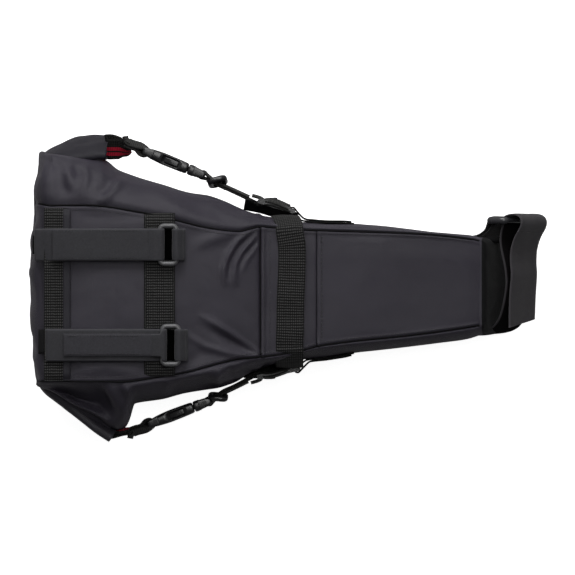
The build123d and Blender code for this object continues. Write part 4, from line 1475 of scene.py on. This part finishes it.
def local_frame(origin_x, origin_y, angle):
    """Maps (x, y, z) of a level frame turned by an angle in degrees to the bag's frame."""
    c, s = math.cos(math.radians(angle)), math.sin(math.radians(angle))
    return lambda x, y, z=0.0: Vector(
        (origin_x + c * x - s * y, origin_y + s * x + c * y, SIDE_Z + z))


def mirrored(at, sign, points):
    """Points drawn for the left side, placed on either."""
    return [at(x, y * sign) for x, y in points]


# buckle: frame (x, y, degrees) with x running from the tail half to the nose half;
# near and far: the ladder lock's rear bar and its anchor bar, in plan;
# tab_*: the striped tab between the roll and the buckle; slider_*: the strap's slider
SIDES = [
    SimpleNamespace(name="left", sign=1, buckle=local_frame(-112.3, 106.9, -22.3),
                    near=(-21.5, 67.5), far=(4.2, 59.6), roll_end=ROLL_LINE[0],
                    tab_end=Vector((-125.5, 108.2, SIDE_Z)), tab_hidden=2.4, tab_tilt=1.16,
                    slider_x=12.5, slider_turn=40, slider_lean=0.16,
                    fold_lean=0.16, fold_inset=0.0, wall=WALL_LEFT),
    SimpleNamespace(name="right", sign=-1, buckle=local_frame(-108.2, -106.9, 21.0),
                    near=(-22.5, -70.0), far=(8.0, -63.4), roll_end=ROLL_LINE[-1],
                    tab_end=local_frame(-108.2, -106.9, 21.0)(-16.4, 0.2),
                    tab_hidden=9.0, tab_tilt=0.15,
                    slider_x=8.0, slider_turn=-31, slider_lean=0.10,
                    fold_lean=0.04, fold_inset=1.5, wall=WALL_RIGHT),
]
# sections of the moulded parts: x, half width, z, half height, squareness, depth of the dent
SOCKET_BODY = [
    (6.4, 3.3, 0, 11.2, 4.0, 0), (6.9, 3.8, 0, 11.8, 4.2, 0), (8.2, 4.1, 0, 12.0, 4.4, 0),
    (13.2, 4.5, 0, 12.0, 4.6, 0), (15.0, 4.6, 0, 12.0, 4.6, 0.6), (17.0, 4.7, 0, 12.0, 4.6, 2.9),
    (27.5, 4.6, 0, 12.0, 4.6, 2.9), (30.0, 4.5, 0, 12.0, 4.6, 0.6), (31.5, 4.5, 0, 12.0, 4.6, 0),
    (35.4, 4.3, 0, 12.0, 4.6, 0), (36.6, 4.0, 0, 11.7, 4.4, 0), (37.0, 3.3, 0, 11.0, 4.0, 0)]
PRONG_BODY = [
    (37.6, 3.4, 0, 11.0, 4.0, 0), (38.0, 4.0, 0, 11.7, 4.4, 0), (39.2, 4.3, 0, 11.9, 4.6, 0),
    (42.2, 4.2, 0, 11.9, 4.4, 0), (43.0, 3.8, 0, 11.4, 4.0, 0)]
PRONG_GUIDE = [(20.5, 1.2, 0, 1.6, 2.4, 0), (22, 2.0, 0, 2.2, 3, 0), (37.8, 2.1, 0, 2.3, 3, 0)]
SLOT_RAIL_Z = 11.1      # the rails above and below each strap slot
SOCKET_BAR_X, PRONG_BAR_X = 1.4, 49.9
HULL_SIDES = 40


def bevel_cad(node):
    """Weld a CAD piece, round its edges and give it the buckle plastic."""
    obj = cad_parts[node]
    obj.data.materials.clear()
    obj.data.materials.append(BUCKLE)
    obj.modifiers.new("weld", "WELD").merge_threshold = 0.00002
    bevel = obj.modifiers.new("bevel", "BEVEL")
    bevel.width = 0.7 * MM
    bevel.segments = 3
    bevel.limit_method = "ANGLE"
    bevel.angle_limit = math.radians(28)
    bevel.harden_normals = False
    bevel.use_clamp_overlap = True
    obj.data.polygons.foreach_set("use_smooth", [True] * len(obj.data.polygons))
    normals = obj.modifiers.new("normals", "WEIGHTED_NORMAL")
    normals.keep_sharp = False
    normals.weight = 70


def hull(name, parts, at):
    """Rounded bodies through oval sections; at maps them to the bag's frame."""
    verts, faces, uvs = [], [], []
    for sections in parts:
        base = len(verts)
        for x, half_y, z, half_z, square, dent in sections:
            for k in range(HULL_SIDES):
                a = 2 * math.pi * k / HULL_SIDES
                py = half_y * signed_power(math.cos(a), 2 / square)
                pz = half_z * signed_power(math.sin(a), 2 / square)
                if dent and abs(math.sin(a)) > 0.5:
                    pz -= (dent * (1 - ease(0.50, 0.78, abs(py) / half_y))
                           * (1 if math.sin(a) > 0 else -1))
                verts.append(at(x, py, z + pz))
                uvs.append((x, a * (half_y + half_z) * 0.5))
        faces += bands(len(sections), HULL_SIDES, base)
        faces.append(tuple(range(base, base + HULL_SIDES)))
        faces.append(tuple(reversed(range(len(verts) - HULL_SIDES, len(verts)))))
    return new_object(name, verts, faces, BUCKLE, uvs)


def refined(sections):
    result = []
    for a, b in zip(sections, sections[1:]):
        count = max(1, int((b[0] - a[0]) / 0.6))
        for k in range(count):
            result.append(tuple(u + (v - u) * k / count if False else u + (v - u) * (k / count)
                                for u, v in zip(a, b)))
    return result + [sections[-1]]


def socket_rail(z):
    start, end = -0.6, 8
    thin, thick = 2.9, 3.9
    return refined([
        (start, thin * 0.6, z, 0.6, 2.4, 0), (start + 0.5, thin * 0.92, z, 0.95, 2.6, 0),
        (start + 1.4, thin, z, 1.1, 3, 0), (end - 1.2, thick, z, 1.2, 3.4, 0),
        (end, thick, z, 1.2, 3.4, 0)])


def prong_rail(z):
    return refined([(41.6, 3.9, z, 1.2, 3.4, 0), (48, 3.4, z, 1.2, 3.4, 0),
                    (50.6, 2.7, z, 1.0, 2.6, 0), (51.6, 1.5, z, 0.6, 2.4, 0)])


def strap_bar(x):
    radius = 1.5
    # place along x and half width, as shares of the radius
    half = [(-0.86, 0.52), (-0.5, 0.88), (0, 1), (0.5, 0.88), (0.86, 0.52)]
    widths = [(-1, 0.5)] + [(place, radius * share) for place, share in half] + [(1, 0.5)]
    return [(x + radius * place, width, 0, 10.4, 8, 0) for place, width in widths]


def closure_tab(side, outward):
    """Striped tab folded double from inside the roll, and the loop round the socket's bar."""
    name, sign, at, end = side.name, side.sign, side.buckle, side.tab_end
    blend_zone = dict(start=at(-41, 0) * MM, end=at(-6, 0) * MM)
    roll_end = Vector((side.roll_end.x, side.roll_end.y, SIDE_Z))
    along = (end - roll_end).normalized()
    normal = Vector((-along.y, along.x, 0)) * sign
    start = roll_end - along * side.tab_hidden
    length = (end - start).length
    points = [start + along * (length * k / 8) + normal * (1.3 + 0.7 * math.sin(k * 0.8))
              for k in range(9)]
    points += [end + along * 1.6 + normal * 0.8, end + along * 2.4,
               end + along * 1.6 - normal * 0.9]
    points += [start + along * (length * k / 8) - normal * (1.4 + 0.5 * math.sin(k * 0.7 + 1))
               for k in range(8, -1, -1)]

    def to_fold(q):
        return 1 - abs(2 * q - 1)

    def tilt(q):
        k = side.tab_tilt * (1 - 0.75 * ease(0.45, 1.0, to_fold(q))) + 0.1
        return Vector((normal.x * k, normal.y * k, 1.0))

    tab = tape("closure_tab_tape_" + name, points, tilt, 20.0, 1.5, STRIPED_TAB, step=1.0,
               wobble=0.35, seed=21 + sign, cells=12,
               width_at=lambda q: 1.0 - 0.24 * ease(0.55, 1.0, to_fold(q)))
    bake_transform(tab)
    describe(tab, "striped_webbing", "closure_tab_" + name)

    path = [(-18.0, 5.0), (-15.6, 2.2), (-12.0, 1.7), (-7.0, 2.2), (-2.6, 2.7)]
    path += arc(SOCKET_BAR_X, 0, 2.6, 90, -85, 5)
    path += [(-2.0, -1.9), (-6.5, 0.1), (-11.0, -0.3), (-15.8, -0.2)]
    loop = tape("buckle_loop_tape_" + name, mirrored(at, sign, path),
                lambda q: Z_AXIS - outward * (0.30 - 0.22 * ease(0.3, 0.5, q)
                                              * (1 - ease(0.5, 0.7, q))),
                19.6, 1.8, WEBBING_NARROW, step=0.9, wobble=0.4, seed=25 + sign)
    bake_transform(loop)
    describe(loop, "webbing", "buckle_loop_" + name)


def buckle(side):
    name, at = side.name, side.buckle
    socket_parts = [refined(SOCKET_BODY), socket_rail(SLOT_RAIL_Z), socket_rail(-SLOT_RAIL_Z),
                    strap_bar(SOCKET_BAR_X)]
    attach(hull("buckle_socket_" + name, socket_parts, at), "buckle_socket_" + name,
           "buckle_plastic", "buckle_female_" + name)
    prong_parts = [refined(PRONG_BODY), prong_rail(SLOT_RAIL_Z), prong_rail(-SLOT_RAIL_Z),
                   strap_bar(PRONG_BAR_X), refined(PRONG_GUIDE)]
    attach(hull("buckle_prong_" + name, prong_parts, at), "bag", "buckle_plastic",
           "buckle_male_" + name)
    for arm in ("upper", "lower"):
        bevel_cad("buckle_arm_%s_%s" % (arm, name))


def side_strap(side, outward):
    """Doubled strap from the prong's bar to the ladder lock; returns its frame and angle."""
    name, sign, near = side.name, side.sign, side.near
    start = side.buckle(50.0, 0)
    angle = math.degrees(math.atan2(near[1] - start.y, near[0] - start.x))
    length = math.hypot(near[0] - start.x, near[1] - start.y)
    at = local_frame(start.x, start.y, angle)
    path = [(length - 9.0, -0.5), (length * 0.6, -0.4), (14.0, -0.6), (7.5, 0.3), (3.6, 1.25)]
    path += arc(0, 0, 2.6, 80, 255, 5)
    path += [(3.4, -1.6), (9, -1.5), (14, -2.2), (22, -2.0), (length - 14, -2.1),
             (length - 4, -2.3)]
    path += arc(length, 0, 2.4, -84, 84, 8)
    path += [(length - 3.0, 2.2), (length - 7.5, 1.4)]
    strap = tape("side_strap_tape_" + name, mirrored(at, sign, path),
                 Z_AXIS - outward * 0.10, 19.4, 1.7, WEBBING_NARROW, step=0.9, wobble=0.3,
                 seed=31 + sign)
    at(length - 26, 0) * MM
    at(length - 6, 0) * MM
    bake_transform(strap)
    describe(strap, "webbing", "side_strap_" + name)
    return at, angle


def slider(side, at, strap_angle):
    """Slider on the strap, with the wave of strap over its middle bar."""
    name, sign, x = side.name, side.sign, side.slider_x
    body = "slider_" + name
    # (distance from the slider's centre, height of the wave)
    path = [(-8.0, -3.3), (-5.2, -2.6), (-2.6, 0.4), (-0.9, 2.3), (0.9, 2.3), (2.6, 0.4),
            (5.2, -2.6), (8.0, -3.2)]
    wave = tape("slider_wave_" + name, mirrored(at, sign, [(x + dx, y) for dx, y in path]),
                Z_AXIS, 19.6, 1.2, WEBBING_NARROW, step=0.7, wobble=0.1, seed=35, cells=8)
    attach(wave, body, "webbing")
    centre = at(x, 0)
    angle = math.radians(strap_angle + side.slider_turn)
    short_axis = Vector((math.cos(angle), math.sin(angle), 0))
    normal = Vector((-short_axis.y, short_axis.x, 0)) * sign
    long_axis = (Z_AXIS + normal * side.slider_lean).normalized()
    path = ring_path(centre, long_axis, short_axis.normalized(), length=27.0, short=15.8,
                     wire=4.8, corner=3.4)
    attach(tube("slider_frame_" + name, path, 2.4, BUCKLE, sides=16, closed=True), body,
           "buckle_plastic", "triglide_" + name)
    path = [centre + long_axis * (-11.5 + 2.3 * k) for k in range(11)]
    attach(tube("slider_bar_" + name, path, 1.8, BUCKLE, sides=14), body, "buckle_plastic")


def ladder_lock(side):
    """Ladder lock, the webbing end folded on it and a near-black patch behind it, painted shadow
    between the lock and the wall.
    """
    name, sign, near, far = side.name, side.sign, side.near, side.far
    body, inset = "ladder_" + name, side.fold_inset
    bevel_cad("ladder_lock_" + name)
    angle = math.degrees(math.atan2(far[1] - near[1], far[0] - near[0]))
    at = local_frame(near[0], near[1], angle)
    outward = (at(0, 1) - at(0, 0)) * sign

    def lean(q):
        return Z_AXIS + outward * (-0.06 - side.fold_lean * ease(0.0, 0.35, q))

    inner = [(-4.5, -2.6 + inset * 0.9), (0.5, -0.8 + inset * 0.3), (5.6, 0.9 - inset),
             (10.0, 1.5 - inset), (16.0, 1.3 - inset), (21.5, 0.9 - inset), (25.5, 0.5 - inset)]
    outer = [(0.6, 1.2 - inset), (4.0, 2.5 - inset), (9.0, 3.2 - inset), (15.0, 3.0 - inset),
             (20.0, 2.4 - inset), (23.5, 1.8 - inset)]
    for piece, path, width, seed in (("ladder_fold_", inner, 20.0, 41),
                                     ("ladder_fold_end_", outer, 19.6, 45)):
        points = [at(x, y * sign, 1.0 + 4.6 * ease(2, 8, x)) for x, y in path]
        fold = tape(piece + name, points, lean, width, 1.7, WEBBING_NARROW, step=0.9,
                    wobble=0.5, seed=seed + sign)
        attach(fold, body, "webbing")
    path = [(-11.0, -6.0), (-4.0, -5.2), (4.0, -4.6), (13.0, -4.4), (22.0, -4.6), (32.0, -4.2)]
    # near-black patch: painted shadow behind the ladder lock
    patch = tape("ladder_patch_" + name, [at(x, y * sign, -1.0) for x, y in path],
                 Z_AXIS + outward * 0.34, 25.0, 1.3, NOSE, step=1.4, wobble=0.6,
                 seed=71 + sign)
    attach(patch, "bag", "shell_fabric")
    return at


def side_anchor(side):
    """Striped webbing round the ladder lock's anchor bar and along the wall."""
    bar_x, bar_y = side.far[0], abs(side.far[1])
    radius = 2.0 + 0.3 + 0.75

    def off_wall(x, gap):
        return x, abs(hermite(side.wall, x)) + gap

    path = [off_wall(52.0, -0.2), off_wall(40.0, 0.2), off_wall(22.5, 0.4),
            off_wall(bar_x + 7.0, 0.7)]
    path += arc(bar_x, bar_y, radius, -62, -282, 11)
    path += [off_wall(bar_x + 8.5, 2.5), off_wall(20.0, 1.8), off_wall(30.0, 1.6),
             off_wall(44.0, 1.5), off_wall(50.0, 1.1)]
    anchor = tape("side_anchor_tape_" + side.name,
                  [Vector((x, side.sign * y, SIDE_Z)) for x, y in path],
                  Z_AXIS, 20.0, 1.4, STRIPED, step=1.1, wobble=0.15, seed=51 + side.sign,
                  cells=12)
    attach(anchor, "bag", "striped_webbing", "side_anchor_" + side.name)


def loose_threads(at):
    """Thread ends on the left ladder lock: start x, y, z and reach in x and y."""
    threads = [(14.0, 4.0, 9, 1.5, 3.8), (12.0, 3.9, 7.5, -1.2, 2.6), (22.0, 2.6, 8, 2.5, 2.0)]
    for k, (x, y, z, dx, dy) in enumerate(threads):
        start = at(x, y, z)
        path = [start, start + Vector((dx * 0.4, dy * 0.5, 0.8)), start + Vector((dx, dy, 0.2))]
        end = tube("loose_thread_%d" % k, path, 0.16, THREAD_BLACK, sides=6, step=0.5)
        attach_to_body(end, "ladder_left")


for side in SIDES:
    outward = (side.buckle(0, 1) - side.buckle(0, 0)) * side.sign
    closure_tab(side, outward)
    buckle(side)
    slider(side, *side_strap(side, outward))
    ladder_frame = ladder_lock(side)
    side_anchor(side)
    if side.name == "left":
        loose_threads(ladder_frame)

# ------------------------------------------------------------------ seat post strap
# The strap's frame leans with the seat post: u runs to the left, v rearwards and down,
# and the post's axis is across the strap.
POST_COS, POST_SIN = math.cos(math.radians(34)), math.sin(math.radians(34))
POST_AXIS = Vector((-POST_SIN, 0, POST_COS))
POST_WIDTH, POST_THICK = 38.0, 1.6
POST_WIRE = 4.2
POST_TURN = POST_WIRE / 2 + 0.3 + 0.75
POST_LOOP_TURN = POST_WIRE / 2 + 0.3 + 0.7
RING_U, RING_V = 52.5, 13.8         # RING_V is the ring's far bar; its near bar is at v = 0
# (u, v) of the strap from the bag to the ring, then round the ring's near bar
POST_RUN = [
    (-37.0, 50.0), (-36.6, 42), (-36.0, 34), (-35.4, 26.0), (-33.8, 19.0), (-30.6, 12.8),
    (-26.6, 9.0), (-22, 6.4), (-12.5, 3.2), (-3, 1.1), (4, 0.4), (11, 0.9), (17, 1.9),
    (27.0, 4.6), (36.0, 6.3), (43.5, 5.6), (RING_U - 3.6, 3.9), (RING_U - 0.6, POST_TURN + 0.2)]
POST_BEND = [
    (RING_U + 2.2, 2.6), (RING_U + 3.8, 0.2), (RING_U + 4.6, -3.6), (RING_U + 4.4, -8.0),
    (RING_U + 2.4, -11.8), (RING_U - 1.0, -13.4), (RING_U - 5.0, -12.6), (RING_U - 9.0, -10.2)]
POST_TAB = [
    (RING_U - 8.6, -10.5), (38.2, -7.1), (33, -5.0), (28.0, -3.8), (19.5, -3.5), (10.9, -4.2),
    (1.6, -3.6), (-10, -2.7), (-20.0, -2.2), (-33.0, -2.2)]


def post_point(u, v, w=0.0):
    return Vector((182 - POST_COS * v, u, 45 - POST_SIN * v)) + POST_AXIS * w


def post_points(path):
    return [post_point(u, v) for u, v in path]


POST_BACK = (post_point(0, 1) - post_point(0, 0)).normalized()


def build_post_strap():
    run_length = sum((Vector(b) - Vector(a)).length for a, b in zip(POST_RUN, POST_RUN[1:]))
    # the run from the bag round the ring's bar is painted near black, as shade under the outer
    # layer
    shaded_run_tape = hook_and_loop("hook_and_loop_shaded_run", WIDE_COLOR, width=38.0,
                             painted_shade_until=run_length + 4)
    strap = tape("seatpost_strap_tape", post_points(POST_RUN + POST_BEND), POST_AXIS, POST_WIDTH,
                 POST_THICK, shaded_run_tape, step=1.4, wobble=0.45, seed=61, cells=16)
    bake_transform(strap)
    describe(strap, "hook_and_loop", "seatpost_strap")


def build_post_tab():
    """Free end of the strap, cut short on a slant, with its hook patch and stitches."""
    tab = tape("seatpost_strap_tab_tape", post_points(POST_TAB), POST_AXIS, POST_WIDTH,
               POST_THICK, FUZZ_WIDE, step=1.4, wobble=0.45, seed=61, cells=16)
    slant_start, slant_length = -20 * MM, 12 * MM
    half = POST_WIDTH / 2
    for vertex in tab.data.vertices:
        if vertex.co.y < slant_start:
            w = (vertex.co / MM - post_point(0, 0)).dot(POST_AXIS)
            shortening = 1.6 + 6.4 * min(max((half - w) / POST_WIDTH, 0), 1)
            reach = min(1.0, (slant_start - vertex.co.y) / slant_length)
            vertex.co.y += reach * shortening * MM
    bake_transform(tab)
    describe(tab, "hook_and_loop", "seatpost_strap_tab")
    path = [(-23.0, -0.85), (-18, -0.9), (-12.0, -1.2), (-4.0, -1.6)]
    patch = tape("seatpost_hook_patch_tape", post_points(path), POST_AXIS, 32.0, 0.9, HOOKS_WIDE,
                 step=1.5, edge=0.6, seed=65)
    attach(patch, "seatpost_tab", "hook_tape", "seatpost_hook_patch")
    line = [(post_point(-29.8 + 6.2 * (half - w) / POST_WIDTH, -3.05, w), -POST_BACK)
            for w in range(-16, 17, 2)]
    sew("seatpost_tab_stitches", [line], THREAD_DARK, pitch=2.6, length=1.9, radius=0.2,
        body="seatpost_tab")


def build_post_ring():
    centre = post_point(RING_U, RING_V / 2)

    def wire_radius(point):
        """Thicker at the two ends of the ring."""
        return POST_WIRE / 2 + 1.0 * ease(17.5, 21.5, abs((point - centre).dot(POST_AXIS)))

    path = ring_path(centre, POST_AXIS.normalized(), POST_BACK.normalized(), length=48.0,
                     short=20.0, wire=POST_WIRE, corner=4.2)
    ring = tube("seatpost_ring_wire", path, wire_radius, RING_WIDE, sides=16, closed=True)
    attach(ring, "seatpost_ring", "ring_plastic", "seatpost_ring")
    path = [(38.4, 50.0), (38.5, 40), (38.7, 32), (39.8, 25.0), (43.0, 19.6),
            (RING_U - 4.2, RING_V + 1.4)]
    path += arc(RING_U, RING_V, POST_LOOP_TURN, 190, 390, 10)
    path += [(RING_U - 0.5, RING_V + 4.8), (45.6, 21.4), (41.8, 27.0), (40.4, 33.0),
             (40.1, 41.0), (40.0, 48.0)]
    loop = tape("seatpost_ring_loop_tape", post_points(path), POST_AXIS, 34.0, 1.3, RING_LOOP,
                step=1.1, wobble=0.5, seed=67, cells=12)
    attach(loop, "bag", "webbing", "seatpost_ring_loop")


build_post_strap()
build_post_tab()
build_post_ring()

# ------------------------------------------------------------------ small fabric pieces
# gore between the right wall and the roll
GORE_PATH = [(-186.42, -79.56, 86), (-177.06, -86.19, 85.5), (-165.36, -92.43, 84),
             (-149.76, -100.62, 82.5), (-137.28, -107.64, 80)]
attach(tape("ear_gore", GORE_PATH, (0.50, 0.80, 0.34), 8.0, 1.2, SHELL, step=1.6, wobble=0.8,
            seed=79, cells=8, width_at=lambda q: 0.35 + 0.65 * ease(0, 0.5, q)),
       "bag", "shell_fabric")
# gusset at the left corner of the nose, under the ring loop, in near-black fabric as painted shade
GUSSET_PATH = [(146, 35.6, 38), (152, 36.6, 38), (158, 37.2, 37), (164, 37.4, 35)]
attach(tape("nose_gusset", GUSSET_PATH, Z_AXIS, 22.0, 5.6, NOSE, step=1.4, wobble=0.3, seed=77),
       "bag", "nose_fabric")


# ------------------------------------------------------------------ seams and stitching
def body_ring_at(x):
    """Index of the body ring nearest to x."""
    return min((i for i in range(RING_COUNT) if KINDS[i][0] == "body"),
               key=lambda i: abs(GRID[i][MIDDLE].x - x))


def stitch_point(i, j):
    normal = grid_normal(GRID, i, j)
    return GRID[i][j] + normal * 0.12, normal


def build_seam_cords():
    # cords along the seams, painted near black as the shade in the seam lines
    for name, j, lift in (("left", TOP_CELLS, 1.15), ("right", 0, 0.65)):
        path = [GRID[i][j] + grid_normal(GRID, i, j) * 0.3 + Z_AXIS * lift
                for i in range(2, RING_COUNT)
                if KINDS[i][0] == "body" or (KINDS[i][0] == "tail" and KINDS[i][1] < 0.9)]
        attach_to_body(tube("seam_cord_" + name, path, 0.66, SEAM_SHADE_CORD, sides=8), "bag")
    for name, x, lift, radius in (("yoke", -20.9, 0.55, 0.6), ("nose", 22.6, 0.1, 0.40)):
        row = GRID[body_ring_at(x)]
        path = [row[j] + Z_AXIS * lift for j in range(2, TOP_CELLS - 1)]
        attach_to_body(tube("seam_cord_" + name, path, radius, SEAM_SHADE_CORD, sides=6), "bag")


def build_stitches():
    lines = []
    for j in (3, TOP_CELLS - 3):
        lines.append([stitch_point(i, j) for i, (kind, place) in enumerate(KINDS)
                      if kind == "body" and place < 148])
    for x in (-17.8, -14.6, 25.4, 28.0):
        i = body_ring_at(x)
        lines.append([stitch_point(i, j) for j in range(3, TOP_CELLS - 3)])
    sew("seam_stitches", lines, THREAD_DARK, pitch=3.2, length=2.3, radius=0.22)
    lines = []
    # x, left end and number of points of each row along the cross webbing
    for x, left, count in ((-187.0, 59, 33), (-170.2, 59, 33), (-109.8, 55, 31),
                           (-88.6, 55, 31)):
        lines.append([(Vector((x, y, surface_z(x, y) + 1.95)), Z_AXIS)
                      for y in [left - 4.0 * k for k in range(count)]])
    sew("webbing_stitches", lines, THREAD_BLACK, pitch=3.0, length=2.1, radius=0.2)


build_seam_cords()
build_stitches()


# ------------------------------------------------------------------ floor, light, camera (metres)
def build_floor():
    """Pale floor that looks near white to the camera but lights the bag only dimly."""
    mesh = bpy.data.meshes.new("floor")
    grid = bmesh.new()
    bmesh.ops.create_grid(grid, x_segments=8, y_segments=8, size=4.0)
    grid.to_mesh(mesh)
    grid.free()
    floor = bpy.data.objects.new("floor", mesh)
    bpy.context.scene.collection.objects.link(floor)
    floor.location.z = -0.0004
    m = Material("floor_pale")
    pale = m.ramp(m.noise(scale=0.7), (0.3, (0.86, 0.86, 0.86, 1)), (0.7, (0.90, 0.90, 0.90, 1)))
    seen = m.node("ShaderNodeLightPath").outputs["Is Camera Ray"]
    m.finish(m.mix((0.30, 0.30, 0.30, 1), pale, mask=seen), rough=0.85, spec=0.1)
    m.shader.inputs["Emission Color"].default_value = (1, 1, 1, 1)
    m.put(m.shader.inputs["Emission Strength"], m.scaled(seen, gain=0.88, offset=0.02))
    mesh.materials.append(m.data)


def area_light(name, location, target, size, power):
    light = bpy.data.lights.new(name, "AREA")
    light.shape = "RECTANGLE"
    light.size, light.size_y = size
    light.energy = power
    light.color = (1, 1, 1)
    obj = bpy.data.objects.new(name, light)
    obj.location = location
    aim = Vector(target) - Vector(location)
    obj.rotation_euler = aim.to_track_quat("-Z", "Y").to_euler()
    bpy.context.scene.collection.objects.link(obj)


def build_world():
    """White to the camera; for lighting, a soft gradient that is brighter towards +Y."""
    world = bpy.data.worlds.new("studio")
    bpy.context.scene.world = world
    world.use_nodes = True
    nodes, links = world.node_tree.nodes, world.node_tree.links
    background = nodes["Background"]
    place = nodes.new("ShaderNodeTexCoord")
    axes = nodes.new("ShaderNodeSeparateXYZ")
    gradient = nodes.new("ShaderNodeMapRange")
    light_path = nodes.new("ShaderNodeLightPath")
    strength = nodes.new("ShaderNodeMix")
    gradient.interpolation_type = "SMOOTHSTEP"
    for key, value in (("From Min", -0.35), ("From Max", 0.9), ("To Min", 0.10),
                       ("To Max", 0.42)):
        gradient.inputs[key].default_value = value
    links.new(place.outputs["Generated"], axes.inputs[0])
    links.new(axes.outputs[1], gradient.inputs[0])
    links.new(light_path.outputs["Is Camera Ray"], strength.inputs[0])
    links.new(gradient.outputs[0], strength.inputs[2])
    strength.inputs[3].default_value = 1.0
    background.inputs[0].default_value = (1, 1, 1, 1)
    links.new(strength.outputs[0], background.inputs[1])


def build_camera():
    """Camera straight above the bag."""
    distance, view_width = 6.0, 0.4485
    camera = bpy.data.cameras.new("camera")
    camera.sensor_width = 36.0
    camera.lens = 36.0 * distance / view_width
    camera.clip_end = 50
    obj = bpy.data.objects.new("camera", camera)
    obj.location = (0, 0, distance + 0.08)
    obj.rotation_euler = (0, 0, 0)
    bpy.context.scene.collection.objects.link(obj)
    bpy.context.scene.camera = obj


build_floor()
area_light("key", (-0.25, 1.45, 1.05), target=(0, 0, 0.06), size=(1.5, 0.9), power=21)
area_light("top", (0.25, 0.55, 2.1), target=(0, 0, 0.05), size=(1.2, 1.0), power=13)
build_world()
build_camera()
bpy.context.scene.view_settings.view_transform = "Standard"

bpy.context.view_layer.update()
